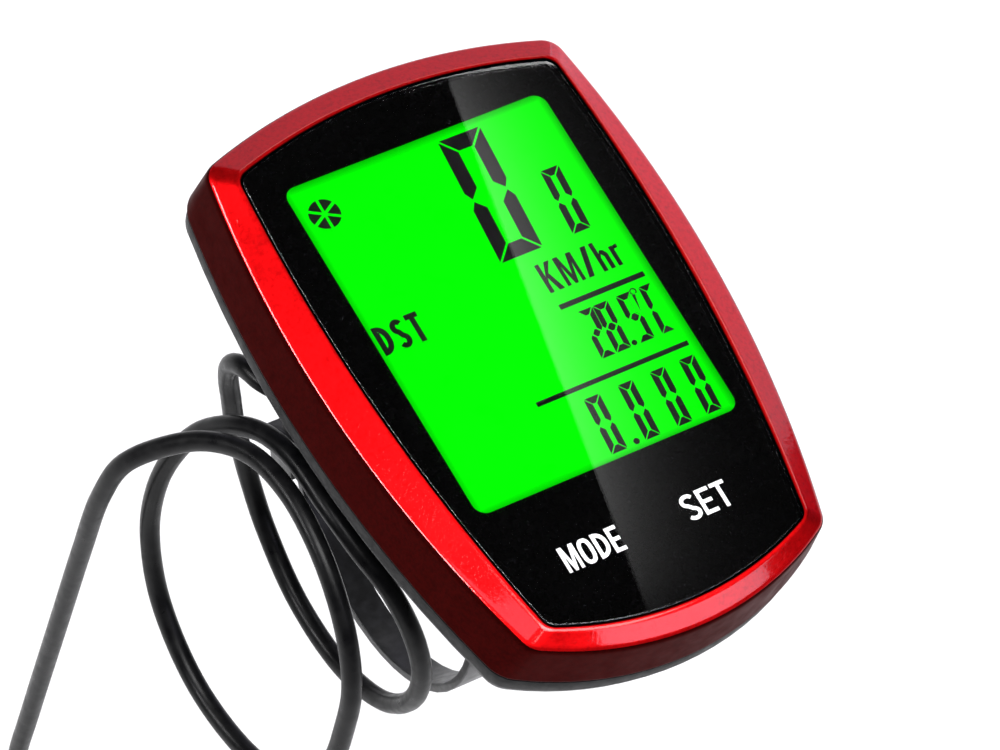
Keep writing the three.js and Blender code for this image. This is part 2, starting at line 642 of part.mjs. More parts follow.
// A band round the top of the coil's bundle of turns, about the bundle's centre
function coilTie() {
  const [w, t] = [2 * (COIL.halfW + GAP), 2 * (COIL.halfT + GAP)]
  const outer = roundedRect(w + 2 * COIL_TIE.t, t + 2 * COIL_TIE.t, 1.2)
  const frame = new THREE.Shape(outer.getPoints(4))
  frame.holes.push(new THREE.Path(roundedRect(w, t, 0.4).getPoints(3).reverse()))
  const band = new THREE.ExtrudeGeometry(frame, { depth: COIL_TIE.w, bevelEnabled: false })
  return band.translate(0, 0, -COIL_TIE.w / 2).rotateX(Math.PI / 2)
}

// ---------------------------------------------------------------------------------------------
// Fork sensor, about its own centre
// ---------------------------------------------------------------------------------------------

// A rounded upright plate facing X, between x0 and x1
function uprightPlate(w, h, r, x0, x1) {
  const settings = { depth: x1 - x0, bevelEnabled: false, curveSegments: 4 }
  const flat = new THREE.ExtrudeGeometry(roundedRect(w, h, r), settings)
  return flat.rotateX(Math.PI / 2).rotateZ(Math.PI / 2).translate(x0, 0, 0)
}

function sensorCase() {
  const { w, length, d, corner, wall, entryR } = SENSOR
  const face = d / 2
  const body = uprightPlate(w, length, corner, -face, face)
  const pocket = uprightPlate(w - 2 * wall, length - 2 * wall, corner - PAST, -face - PAST, face - wall)
  const entry = rod(entryR, length / 2 - 2 * wall, length / 2 + PAST, 0, 0, 20)
  const { z, half, deep } = SENSOR_GROOVE
  const tieGrooves = [z, -z].map((mid) => block(face - deep, face + PAST, -w, w, mid - half, mid + half))
  return shaped(body, { cut: [pocket, entry, ...tieGrooves] })
}

function sensorPad() {
  const face = -SENSOR.d / 2 - GAP
  return uprightPlate(SENSOR.w, SENSOR.length, SENSOR.corner, face - SENSOR_PAD_T, face)
}

function sensorBoot() {
  const { plugR, plugL, r, tipR, length } = SENSOR_BOOT
  const top = SENSOR.length / 2
  const profile = [
    [0, top - plugL], [plugR, top - plugL], [plugR, top + GAP], [r, top + GAP], [tipR, top + length],
    [0, top + length],
  ]
  return turned(profile, 0, 0, 16)
}

// ---------------------------------------------------------------------------------------------
// Assembly
// ---------------------------------------------------------------------------------------------

function addPart(parent, name, geometry, look, x = 0, y = 0, z = 0) {
  const mesh = new THREE.Mesh(geometry, new THREE.MeshStandardMaterial(look))
  mesh.name = name
  mesh.position.set(x, y, z)
  parent.add(mesh)
}

const SIDES = [['right', 1], ['left', -1]]

function displayHead() {
  const head = new THREE.Group()
  addPart(head, 'front_bezel', bezel(), RED)
  addPart(head, 'lens', lens(), CLEAR)
  addPart(head, 'lens_mask', lensMask(), BLACK_GLOSS)
  addPart(head, 'lcd_panel', plate(LCD.w, LCD.h, 0.5, LCD.z, LCD.t), SCREEN_GREEN)
  addPart(head, 'light_guide', plate(GUIDE.w, GUIDE.h, 0.5, GUIDE.z, GUIDE.t), LIGHT_GUIDE)
  const strip = plate(STRIP.w, STRIP.d, GAP, STRIP.z, STRIP.t, 0, 0)
  const stripY = LCD.h / 2 - STRIP.d / 2 - 0.2
  addPart(head, 'contact_strip_upper', strip, RUBBER, 0, SCREEN_Y + stripY)
  addPart(head, 'contact_strip_lower', strip, RUBBER, 0, SCREEN_Y - stripY)
  addPart(head, 'circuit_board', circuitBoard(), BOARD_GREEN)
  addPart(head, 'processor_blob', processorBlob(), EPOXY, BLOB.x, BLOB.y)
  const can = new THREE.BoxGeometry(CRYSTAL.w, CRYSTAL.l, CRYSTAL.t)
  addPart(head, 'timing_crystal', can, STEEL, CRYSTAL.x, CRYSTAL.y, BOARD.z - FIT - CRYSTAL.t / 2)
  addPart(head, 'battery_spring', batterySpring(), STEEL)
  addPart(head, 'battery_clip', batteryClip(), STEEL)
  addPart(head, 'coin_cell', coinCell(), STEEL)
  addPart(head, 'back_shell', backShell(), BLACK_SHELL)
  addPart(head, 'case_gasket', caseGasket(), RUBBER)
  screwSpots.forEach(([x, y], i) => addPart(head, `case_screw_${i + 1}`, screw(), STEEL, x, y))
  addPart(head, 'battery_cover', batteryCover(), BLACK_SHELL)
  const seal = new THREE.TorusGeometry(ORING.r, ORING.section, 6, 36)
  addPart(head, 'battery_cover_seal', seal, RUBBER, 0, 0, ORING.z)
  for (const [name, x] of Object.entries(BUTTON_X)) {
    addPart(head, `${name}_switch`, tactSwitch(), EPOXY, x, BUTTON.y)
    addPart(head, `${name}_button`, pushButton(), RUBBER, x, BUTTON.y)
  }
  const post = rod(CONTACT.r, BACK_Z + CONTACT.clear, BOARD.z - CONTACT.clear)
  for (const [name, side] of SIDES) {
    addPart(head, `head_contact_${name}`, post, BRASS, side * CONTACT.x, CONTACT.y)
  }
  return head
}

function barBracket() {
  const bracket = new THREE.Group()
  addPart(bracket, 'bracket_base', bracketBase(), BLACK_SATIN)
  addPart(bracket, 'bar_pad', barPad(), RUBBER)
  for (const [name, side] of SIDES) {
    addPart(bracket, `bracket_contact_${name}`, contactSpring(), BRASS, side * CONTACT.x, CONTACT.y)
    addPart(bracket, `cable_tie_${name}`, cableTie(), NYLON, side * TIE.x, 0, TIE.z)
  }
  return bracket
}

function sensorLead() {
  const lead = new THREE.Group()
  addPart(lead, 'cable_boot', cableBoot(), RUBBER, EXIT.x + EXIT_BOSS.plug, EXIT.y, EXIT.z)
  addPart(lead, 'cable_lead', cable(LEAD_ROUTE, 72), BLACK_SATIN)
  addPart(lead, 'cable_coil', cableCoil(), BLACK_SATIN, HANG_X, HANG_Y, COIL.z)
  addPart(lead, 'coil_tie', coilTie(), NYLON, HANG_X, HANG_Y, COIL.z + COIL.r)
  addPart(lead, 'cable_tail', cable(TAIL_ROUTE, 4), BLACK_SATIN)
  return lead
}

function forkSensor() {
  const sensor = new THREE.Group()
  sensor.position.set(HANG_X, HANG_Y, SENSOR.top - SENSOR.length / 2)
  addPart(sensor, 'sensor_boot', sensorBoot(), RUBBER)
  addPart(sensor, 'sensor_case', sensorCase(), BLACK_SHELL)
  addPart(sensor, 'reed_switch', rod(REED.r, -REED.half, REED.half, 0, 0, 12), CLEAR, REED.x)
  addPart(sensor, 'sensor_pad', sensorPad(), RUBBER)
  return sensor
}

const group = new THREE.Group()
group.name = 'cycling_computer'
group.add(displayHead(), barBracket(), sensorLead(), forkSensor())

export default group
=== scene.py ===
"""A handlebar cycling computer in a plain studio: display head, slide-off bracket, lead and fork sensor."""

import json
import math

import bmesh
import bpy
from mathutils import Euler, Matrix, Vector

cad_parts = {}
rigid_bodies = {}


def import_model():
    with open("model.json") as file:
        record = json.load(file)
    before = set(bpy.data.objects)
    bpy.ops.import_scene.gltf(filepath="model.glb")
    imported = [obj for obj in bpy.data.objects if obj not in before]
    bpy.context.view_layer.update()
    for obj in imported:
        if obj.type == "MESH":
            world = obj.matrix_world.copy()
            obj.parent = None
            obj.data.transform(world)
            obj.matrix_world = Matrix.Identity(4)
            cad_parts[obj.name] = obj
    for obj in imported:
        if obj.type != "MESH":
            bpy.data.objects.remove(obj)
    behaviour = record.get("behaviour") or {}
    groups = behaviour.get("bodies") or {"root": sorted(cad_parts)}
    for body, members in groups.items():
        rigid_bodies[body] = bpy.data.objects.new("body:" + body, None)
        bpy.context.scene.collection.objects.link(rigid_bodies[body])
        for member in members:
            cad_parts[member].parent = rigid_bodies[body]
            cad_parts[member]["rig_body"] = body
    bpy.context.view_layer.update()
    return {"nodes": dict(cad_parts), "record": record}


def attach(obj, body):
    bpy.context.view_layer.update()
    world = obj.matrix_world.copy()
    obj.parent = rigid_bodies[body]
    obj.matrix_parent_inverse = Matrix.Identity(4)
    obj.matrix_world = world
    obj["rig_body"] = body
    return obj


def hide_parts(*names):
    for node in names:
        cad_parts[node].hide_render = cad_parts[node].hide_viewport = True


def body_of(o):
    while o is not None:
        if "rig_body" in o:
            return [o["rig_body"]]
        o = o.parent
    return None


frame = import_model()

MM = 0.001
scene = bpy.context.scene
scene.view_settings.view_transform = "Standard"
SLOT_OF = {part["node"]: part["material_slot"] for part in frame["record"]["subparts"]}

# --------------------------------------------------------------------------------------------
# Camera
# --------------------------------------------------------------------------------------------

CAMERA_PLACE = Vector((-216.46, -174.34, 468.66)) * MM
CAMERA_TURN = (29.875, -12.399, -30.323)  # degrees about X, Y and Z
CAMERA_LENS = 185.9


def make_camera():
    data = bpy.data.cameras.new("camera")
    data.lens = CAMERA_LENS
    data.sensor_width = 36
    data.clip_start = 0.01
    data.clip_end = 20
    camera = bpy.data.objects.new("camera", data)
    camera.location = CAMERA_PLACE
    camera.rotation_euler = Euler([math.radians(a) for a in CAMERA_TURN])
    scene.collection.objects.link(camera)
    scene.camera = camera


make_camera()

# --------------------------------------------------------------------------------------------
# The wheel-sensor lead
# --------------------------------------------------------------------------------------------

CABLE_R = 1.1
WRAP_R = 15.9 + CABLE_R + 0.15
EXIT = (-15.1, 12, 15.6)
HANG_X, HANG_Y = -33.6, 17.6
COIL_Z = -100
COIL_X = (-2.25, 0, 2.25, 2.25, 0, -2.25)  # each turn's place across the bundle
COIL_R = (12.35, 12.35, 12.35, 10.1, 10.1, 10.1)  # and its radius
COIL_START, COIL_TURNS = 42, 5.25
STAY, SHIFT = 0.76, 0.88  # a turn keeps its place up to STAY, and has moved to the next by SHIFT
LEAVE, LEFT = 4.78, 4.95  # the turns between which the last one moves out beside the rest
BESIDE, OUTSIDE = 2.3, 2.25  # how far it moves along X, and then outward
SENSOR_TOP, SENSOR_HALF = -130, 17


def on_bar(x, degrees, away=0):
    """A point on the handlebar's surface, or away beyond it; the angle runs from +Z towards +Y."""
    a = math.radians(degrees)
    return (x, (WRAP_R + away) * math.sin(a), (WRAP_R + away) * math.cos(a))


LEAD_ROUTE = [
    (-14.2, 12, 15.6),
    (-15.4, 12, 15.6),
    (-16.7, 12.2, 15.6),
    (-17.9, 12.8, 15.65),
    (-18.9, 13.7, 15.7),
    (-19.6, 15, 15.6),
    (-19.9, 16.5, 15.2),
    (-20, 17.9, 14.2),
    (-19.9, 19, 12.6),
    (-19.6, 19.6, 10.4),
    (-19.1, 19.6, 7.6),
    (-18.5, 19, 4.4),
    on_bar(-17.8, 88, 1.2),
    on_bar(-16.9, 101, 0.5),
    on_bar(-16, 118, 0.1),
    on_bar(-15.2, 142),
    on_bar(-14.8, 170),
    on_bar(-14.6, 200),
    on_bar(-14.6, 230),
    on_bar(-14.8, 258),
    on_bar(-15.3, 280),
    on_bar(-16.4, 300),
    on_bar(-18, 320),
    on_bar(-19.9, 338),
    on_bar(-20.9, 355),
    on_bar(-21.1, 378),
    on_bar(-21.5, 396),
    on_bar(-22.7, 412),
    on_bar(-24.2, 432),
    on_bar(-25.8, 452),
    on_bar(-26.8, 470, 0.7),
    on_bar(-27.2, 491, 2.8),
    on_bar(-27, 514, 6),
    on_bar(-26.4, 537, 8.2),
    on_bar(-25.6, 560, 8.2),
    on_bar(-24.9, 584, 5.8),
    on_bar(-24.4, 606, 2.6),
    on_bar(-24.1, 626, 0.5),
    on_bar(-23.9, 650),
    on_bar(-23.9, 676),
    on_bar(-23.8, 702),
    on_bar(-23.8, 726),
    on_bar(-24.5, 748),
    on_bar(-26.6, 767),
    on_bar(-29.6, 784),
    on_bar(-32.2, 800, 0.2),
    (-33.4, HANG_Y - 0.1, -3.5),
    (HANG_X, HANG_Y, -16),
    (HANG_X, HANG_Y, -32),
    (HANG_X, HANG_Y, -48),
    (HANG_X, HANG_Y, -63),
    (HANG_X, HANG_Y + 0.4, COIL_Z + 22),
    (HANG_X - 1.7, HANG_Y + 3.2, COIL_Z + 15.4),
]
TAIL_ROUTE = [
    (HANG_X - 3.8, HANG_Y + 4.7, COIL_Z - 14.5),
    (HANG_X - 3.1, HANG_Y + 3.2, COIL_Z - 16.2),
    (HANG_X - 1.3, HANG_Y + 1.3, COIL_Z - 19),
    (HANG_X - 0.1, HANG_Y + 0.1, COIL_Z - 22),
    (HANG_X, HANG_Y, SENSOR_TOP + 6.3),
    (HANG_X, HANG_Y, SENSOR_TOP + 4),
]


def smoothstep(a, b, x):
    """From 0 at a to 1 at b, with no slope at either."""
    t = min(max((x - a) / (b - a), 0), 1)
    return t * t * (3 - 2 * t)


def turn_value(values, k):
    """The value at k turns from the start, stepping on as one turn passes over to the next."""
    i = min(int(k / SHIFT), len(values) - 1)
    j = min(i + 1, len(values) - 1)
    return values[i] + (values[j] - values[i]) * smoothstep(STAY, SHIFT, k - i * SHIFT)


def coil_route(steps_per_turn=24):
    """The coil's turns: three outside from left to right, then back inside, and out beside them."""
    points = []
    for i in range(int(COIL_TURNS * steps_per_turn) + 1):
        k = i / steps_per_turn
        a = math.radians(COIL_START) + 2 * math.pi * k
        x = turn_value(COIL_X, k) - BESIDE * smoothstep(LEAVE, LEFT, k)
        r = turn_value(COIL_R, k) + OUTSIDE * smoothstep(LEFT, COIL_TURNS, k)
        points.append((HANG_X + x, HANG_Y + r * math.sin(a), COIL_Z + r * math.cos(a)))
    return points


def catmull_rom(route, steps=10):
    """Points along the centripetal Catmull-Rom curve through the route."""
    knots = [Vector(p) for p in route]
    knots = [2 * knots[0] - knots[1], *knots, 2 * knots[-1] - knots[-2]]
    points = []
    for p0, p1, p2, p3 in zip(knots, knots[1:], knots[2:], knots[3:]):
        d0, d1, d2 = ((b - a).length ** 0.5 for a, b in ((p0, p1), (p1, p2), (p2, p3)))
        m1 = ((p1 - p0) / d0 - (p2 - p0) / (d0 + d1) + (p2 - p1) / d1) * d1
        m2 = ((p2 - p1) / d1 - (p3 - p1) / (d1 + d2) + (p3 - p2) / d2) * d1
        for i in range(steps):
            t = i / steps
            a, b = 2 * t**3 - 3 * t**2 + 1, t**3 - 2 * t**2 + t
            points.append(a * p1 + b * m1 + (1 - a) * p2 + (t**3 - t**2) * m2)
    return [*points, knots[-2]]


def make_tube(name, points, radius):
    """A round tube along points in millimetres, as one open spline."""
    data = bpy.data.curves.new(name, "CURVE")
    data.dimensions = "3D"
    data.bevel_depth = 1  # times each point's radius
    data.bevel_resolution = 6
    data.use_fill_caps = True
    spline = data.splines.new("POLY")
    spline.points.add(len(points) - 1)
    for knot, p in zip(spline.points, points):
        knot.co = (*(Vector(p) * MM), 1)
        knot.radius = radius * MM
    spline.use_smooth = True
    tube = bpy.data.objects.new(name, data)
    scene.collection.objects.link(tube)
    return tube


cable_points = catmull_rom([*LEAD_ROUTE, *coil_route(), *TAIL_ROUTE])
sensor_cable = make_tube("sensor_cable", cable_points, CABLE_R)
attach(sensor_cable, "bracket")
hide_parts("cable_lead", "cable_coil", "cable_tail")

# --------------------------------------------------------------------------------------------
# Materials
# --------------------------------------------------------------------------------------------


class Finish:
    """A procedural material on one principled shader, with sizes in millimetres on the object."""

    def __init__(self, name, color, roughness, **sockets):
        self.material = bpy.data.materials.new(name)
        self.material.use_nodes = True
        self.nodes = self.material.node_tree.nodes
        self.links = self.material.node_tree.links
        self.shader = self.nodes["Principled BSDF"]
        self.place = self.nodes.new("ShaderNodeTexCoord").outputs["Object"]
        self.shader.inputs["Base Color"].default_value = (*color, 1)
        self.shader.inputs["Roughness"].default_value = roughness
        for socket, value in sockets.items():
            self.shader.inputs[socket.replace("_", " ")].default_value = value
        self.color = color
        self.roughness = roughness

    def noise(self, size, detail=3, stretch=None):
        """Noise about size across; stretch draws it out along the axes."""
        node = self.nodes.new("ShaderNodeTexNoise")
        node.inputs["Scale"].default_value = 1 / (size * MM)
        node.inputs["Detail"].default_value = detail
        self.links.new(self.drawn_out(stretch), node.inputs["Vector"])
        return node.outputs["Fac"]

    def cells(self, size, output="Color"):
        """Random cells about size across, or the distance to their middles."""
        node = self.nodes.new("ShaderNodeTexVoronoi")
        node.inputs["Scale"].default_value = 1 / (size * MM)
        self.links.new(self.place, node.inputs["Vector"])
        return node.outputs[output]

    def drawn_out(self, stretch):
        """The object's coordinates, drawn out along its axes if a stretch is given."""
        if not stretch:
            return self.place
        node = self.nodes.new("ShaderNodeMapping")
        node.inputs["Scale"].default_value = [1 / s for s in stretch]
        self.links.new(self.place, node.inputs["Vector"])
        return node.outputs["Vector"]

    def spread(self, value, low, high, start=0.0, end=1.0):
        """value, from start to end, mapped on to low to high."""
        node = self.nodes.new("ShaderNodeMapRange")
        for socket, number in zip(("From Min", "From Max", "To Min", "To Max"), (start, end, low, high)):
            node.inputs[socket].default_value = number
        self.links.new(value, node.inputs["Value"])
        return node.outputs["Result"]

    def mixed(self, factor, a, b):
        """From colour a to colour b; either may be a socket."""
        node = self.nodes.new("ShaderNodeMix")
        node.data_type = "RGBA"
        self.links.new(factor, node.inputs["Factor"])
        for socket, value in zip((node.inputs[6], node.inputs[7]), (a, b)):
            if isinstance(value, tuple):
                socket.default_value = (*value, 1)
            else:
                self.links.new(value, socket)
        return node.outputs[2]

    def tinted(self, other, size, start=0.35, end=0.65):
        """Drifts between the base colour and another over patches about size across."""
        factor = self.spread(self.noise(size), 0, 1, start, end)
        self.links.new(self.mixed(factor, self.color, other), self.shader.inputs["Base Color"])
        return self

    def worn(self, by, size):
        """Lets the roughness wander by that much either way."""
        value = self.noise(size, 4)
        rough = self.spread(value, self.roughness - by, self.roughness + by, 0.3, 0.7)
        self.links.new(rough, self.shader.inputs["Roughness"])
        return self

    def bumped(self, *layers):
        """Layers of relief, each (height socket or grain size, depth in millimetres, strength)."""
        normal = None
        for height, depth, strength in layers:
            node = self.nodes.new("ShaderNodeBump")
            node.inputs["Distance"].default_value = depth * MM
            node.inputs["Strength"].default_value = strength
            value = self.noise(height, 2) if isinstance(height, (int, float)) else height
            self.links.new(value, node.inputs["Height"])
            if normal:
                self.links.new(normal, node.inputs["Normal"])
            normal = node.outputs["Normal"]
        self.links.new(normal, self.shader.inputs["Normal"])
        self.links.new(normal, self.shader.inputs["Coat Normal"])
        return self


def split(finish, axis):
    """One coordinate of the object, in metres."""
    node = finish.nodes.new("ShaderNodeSeparateXYZ")
    finish.links.new(finish.place, node.inputs["Vector"])
    return node.outputs[axis]


def math_node(finish, operation, a, b=0.0):
    """One sum, in anything that has nodes and links; a and b are sockets or numbers."""
    node = finish.nodes.new("ShaderNodeMath")
    node.operation = operation
    for socket, value in zip(node.inputs, (a, b)):
        if isinstance(value, (int, float)):
            socket.default_value = value
        else:
            finish.links.new(value, socket)
    return node.outputs[0]


def red_lacquer():
    """The bevel's metallic red: rough aluminium flakes and soft orange peel under a clear gloss coat."""
    bright, dark = (0.84, 0.004, 0.006), (0.62, 0.0015, 0.0025)
    edge_tint = (1, 0.5, 0.62, 1)
    coat = dict(Coat_Weight=1.0, Coat_Roughness=0.08)
    look = Finish("red_lacquer", bright, 0.46, Metallic=1.0, Specular_Tint=edge_tint, **coat)
    flake = look.spread(look.cells(0.28), 0, 1, 0.1, 0.9)
    drift = look.spread(look.noise(0.45, 4), 0, 1, 0.36, 0.68)
    speckle = look.mixed(math_node(look, "MULTIPLY", flake, drift), bright, dark)
    look.links.new(speckle, look.shader.inputs["Base Color"])
    look.worn(0.05, 2.5)
    return look.bumped((look.cells(0.3), 0.006, 0.35), (0.5, 0.014, 0.6)).material


def red_wall_painted_shade():
    """The same red on the side wall, painted deeper as painted shade, and without the gloss."""
    edge_tint = (0.64, 0.54, 0.54, 1)
    look = Finish("red_wall_painted_shade", (0.036, 0.0015, 0.0013), 0.44, Metallic=1.0, Specular_Tint=edge_tint)
    look.tinted((0.022, 0.001, 0.0009), 0.4, 0.4, 0.66)
    return look.worn(0.06, 1.8).bumped((look.cells(0.16), 0.003, 0.25), (0.6, 0.006, 0.3)).material


def backlit_green():
    """The display's glass: lit green, with painted shade making it a little darker along the edges of its
    window.
    """
    look = Finish("backlit_green", (0, 0.02, 0), 0.3, Specular_IOR_Level=0.03)
    across = math_node(look, "ABSOLUTE", math_node(look, "SUBTRACT", split(look, "X"), VIEW_X * MM))
    middle = (SCREEN_Y + VIEW_Y) * MM
    along = math_node(look, "ABSOLUTE", math_node(look, "SUBTRACT", split(look, "Y"), middle))
    side = math_node(look, "SUBTRACT", WINDOW_W / 2 * MM, across)
    end = math_node(look, "SUBTRACT", WINDOW_H / 2 * MM, along)
    near = math_node(look, "MINIMUM", side, end)
    # painted shade: the glow is dimmed to half at the window's edge, recovering over 0.9 mm
    edge = look.spread(near, 0.5, 1, 0, 0.9 * MM)
    uneven = look.spread(look.noise(9, 1), 1.07, 1.12, 0.3, 0.7)
    look.shader.inputs["Emission Color"].default_value = (0, 1, 0, 1)
    look.links.new(math_node(look, "MULTIPLY", edge, uneven), look.shader.inputs["Emission Strength"])
    return look.worn(0.04, 3).material


def display_ink():
    """The display's dark segments."""
    look = Finish("display_ink", (0.006, 0.003, 0.006), 0.45, Specular_IOR_Level=0.1)
    return look.tinted((0.01, 0.006, 0.01), 0.8).worn(0.05, 1).material


def clear_plastic(name, ior, tone):
    """Polished and clear, with the faintest unevenness in its gloss."""
    look = Finish(name, tone, 0.006, IOR=ior, Transmission_Weight=1.0)
    return look.worn(0.005, 9).material


def black_print():
    """The dense black ink behind the lens."""
    look = Finish("black_print", (0.0004, 0.0004, 0.0005), 0.28, Specular_IOR_Level=0.03)
    return look.tinted((0.0009, 0.0009, 0.0011), 0.4).worn(0.03, 0.6).material


def white_print_painted_glow():
    """The legends' ink, glowing a little with painted light, though it is no lamp."""
    # the emission is painted light on the printed legends
    look = Finish("white_print_painted_glow", (0.85, 0.85, 0.85), 0.5, Emission_Color=(1, 1, 1, 1), Emission_Strength=0.75)
    return look.tinted((0.75, 0.76, 0.78), 0.3).worn(0.08, 0.4).material


def spark_texture():
    """Moulded ABS with a fine eroded grain."""
    look = Finish("spark_texture", (0.005, 0.005, 0.0054), 0.46, Specular_IOR_Level=0.08)
    look.tinted((0.011, 0.011, 0.0115), 0.7, 0.4, 0.62)
    return look.worn(0.07, 1.2).bumped((0.22, 0.02, 0.5), (0.7, 0.02, 0.25)).material


def satin_plastic():
    """Moulded nylon with a smoother face than the shell's."""
    look = Finish("satin_nylon", (0.008, 0.0082, 0.009), 0.42)
    look.tinted((0.017, 0.017, 0.018), 1.5, 0.38, 0.66)
    return look.worn(0.08, 2.2).bumped((0.5, 0.012, 0.35), (2.5, 0.02, 0.2)).material


def rubber():
    """Matt rubber with a dusty bloom."""
    look = Finish("black_rubber", (0.017, 0.017, 0.0175), 0.72)
    look.tinted((0.034, 0.033, 0.032), 0.9, 0.42, 0.7)
    return look.worn(0.1, 0.9).bumped((0.3, 0.015, 0.5), (1.6, 0.03, 0.25)).material


def cable_jacket():
    """Soft PVC with the faint drag marks of extrusion."""
    look = Finish("cable_pvc", (0.0025, 0.0025, 0.003), 0.34, Specular_IOR_Level=0.16)
    look.tinted((0.006, 0.006, 0.0065), 1.8, 0.4, 0.66)
    return look.worn(0.08, 1.1).bumped((0.45, 0.012, 0.35), (2.8, 0.04, 0.3)).material


def nylon():
    """The cable ties' nylon."""
    look = Finish("tie_nylon", (0.015, 0.015, 0.0155), 0.38)
    look.tinted((0.028, 0.028, 0.03), 1.2, 0.4, 0.66)
    return look.worn(0.07, 0.8).bumped((0.4, 0.01, 0.4)).material


def circuit_green():
    """Solder mask with the copper's lines faintly raised under it."""
    green, over_copper = (0.006, 0.09, 0.028), (0.02, 0.17, 0.06)
    look = Finish("circuit_green", green, 0.3, Coat_Weight=0.3)
    node = look.nodes.new("ShaderNodeTexBrick")
    node.inputs["Scale"].default_value = 1 / (3.2 * MM)
    node.inputs["Mortar Size"].default_value = 0.06
    look.links.new(look.place, node.inputs["Vector"])
    tracks = node.outputs["Fac"]
    look.links.new(look.mixed(tracks, green, over_copper), look.shader.inputs["Base Color"])
    return look.worn(0.06, 1.5).bumped((tracks, 0.03, 0.5), (0.5, 0.006, 0.3)).material


def epoxy():
    """The glossy drop over the chip."""
    look = Finish("epoxy_drop", (0.008, 0.008, 0.009), 0.18, Coat_Weight=0.5)
    return look.tinted((0.02, 0.019, 0.018), 1.1).worn(0.06, 0.9).bumped((1.4, 0.05, 0.3)).material


def metal(name, color, other, roughness, grain):
    """Rolled or turned metal: fine lines along X, and tarnish in patches."""
    look = Finish(name, color, roughness, Metallic=1.0)
    look.tinted(other, 1.4, 0.45, 0.75)
    lines = look.noise(grain, 4, (14, 1, 1))
    return look.worn(0.09, 0.9).bumped((lines, 0.006, 0.4), (0.9, 0.01, 0.15)).material


def light_guide():
    """Green-lit acrylic with pale printed dots."""
    clear, dot, glow = (0.72, 0.92, 0.7), (0.92, 0.97, 0.92), (0.1, 1, 0.15, 1)
    look = Finish("guide_acrylic", clear, 0.18, Emission_Color=glow, Emission_Strength=0.2)
    dots = look.spread(look.cells(0.9, "Distance"), 1, 0, 0.16, 0.3)
    look.links.new(look.mixed(dots, clear, dot), look.shader.inputs["Base Color"])
    return look.worn(0.05, 1.2).bumped((dots, 0.04, 0.4)).material


SCREEN_Y = 4.8
WINDOW_W, WINDOW_H, WINDOW_R = 31, 40.3, 1.45
VIEW_X, VIEW_Y = 0.4, 0.3  # the window and readouts sit this far off centre, as on the lens

LOOKS = {
    "red_bezel": red_lacquer(),
    "clear_lens": clear_plastic("lens_acrylic", 1.49, (1, 1, 1)),
    "black_print": black_print(),
    "lcd_glass": backlit_green(),
    "light_guide": light_guide(),
    "clear_glass": clear_plastic("tube_glass", 1.5, (0.93, 0.97, 0.95)),
    "shell_plastic": spark_texture(),
    "satin_plastic": satin_plastic(),
    "rubber": rubber(),
    "cable_jacket": cable_jacket(),
    "board": circuit_green(),
    "epoxy": epoxy(),
    "steel": metal("bright_steel", (0.62, 0.62, 0.63), (0.46, 0.455, 0.45), 0.24, 0.09),
    "brass": metal("gilt_brass", (0.8, 0.56, 0.22), (0.6, 0.38, 0.14), 0.22, 0.07),
    "nylon": nylon(),
}
# the side wall's red is the bevel's red darkened as painted shade
ink, legend_white_painted_glow, wall_red_painted_shade = display_ink(), white_print_painted_glow(), red_wall_painted_shade()
sensor_cable.data.materials.append(LOOKS["cable_jacket"])

# --------------------------------------------------------------------------------------------
# Building
# --------------------------------------------------------------------------------------------


def add_piece(name, mesh, look, *nodes, body=None, slot=None):
    """A piece in place of any CAD nodes given, riding on the body named, or on theirs."""
    piece = bpy.data.objects.new(name, mesh)
    scene.collection.objects.link(piece)
    mesh.materials.clear()
    mesh.materials.append(look)
    mesh.shade_smooth()
    mesh.set_sharp_from_angle(angle=math.radians(32))
    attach(piece, body or body_of(frame["nodes"][nodes[0]])[0])
    if nodes:
        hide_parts(*nodes)
    return piece


def mesh_from(name, points, faces):
    """A mesh from points in millimetres, with its faces turned outward."""
    mesh = bpy.data.meshes.new(name)
    mesh.from_pydata([Vector(p) * MM for p in points], [], faces)
    work = bmesh.new()
    work.from_mesh(mesh)
    bmesh.ops.recalc_face_normals(work, faces=work.faces)
    work.to_mesh(mesh)
    work.free()
    return mesh


WELD, FINE_WELD = 0.01, 0.0001  # points closer than this are joined


def softened(node, width, segments=3, angle=30):
    """A CAD node's mesh with its triangles joined into faces and its edges rounded off."""
    mesh = frame["nodes"][node].data.copy()
    work = bmesh.new()
    work.from_mesh(mesh)
    bmesh.ops.remove_doubles(work, verts=work.verts, dist=WELD * MM)
    bmesh.ops.dissolve_limit(
        work, angle_limit=math.radians(1), verts=work.verts, edges=work.edges, delimit={"NORMAL"}
    )
    work.to_mesh(mesh)
    work.free()
    trial = bpy.data.objects.new("trial", mesh)
    scene.collection.objects.link(trial)
    rounding = trial.modifiers.new("rounding", "BEVEL")
    rounding.width = width * MM
    rounding.segments = segments
    rounding.limit_method = "ANGLE"
    rounding.angle_limit = math.radians(angle)
    rounding.use_clamp_overlap = False
    rounding.miter_outer = "MITER_ARC"
    done = bpy.data.meshes.new_from_object(trial.evaluated_get(bpy.context.evaluated_depsgraph_get()))
    bpy.data.objects.remove(trial)
    return done


def grow(outline, d):
    """The same barrel outline, moved outward by d all round."""
    moved = {key: value + d for key, value in outline.items()}
    return {**moved, "side_y": outline["side_y"], "corner": max(outline["corner"] + d, 0.4)}


def corner_centre(x, side_y, side_r, y, end_r, up):
    """Where a circle about (0, y) meets a circle about (x, side_y), on the +X side."""
    gap = math.hypot(x, side_y - y)
    along = (end_r**2 - side_r**2 + gap**2) / (2 * gap)
    across = math.sqrt(end_r**2 - along**2)
    ux, uy = x / gap, (side_y - y) / gap
    found = [(along * ux - s * across * uy, y + along * uy + s * across * ux) for s in (1, -1)]
    return max((p for p in found if p[0] > 0), key=lambda p: up * p[1])


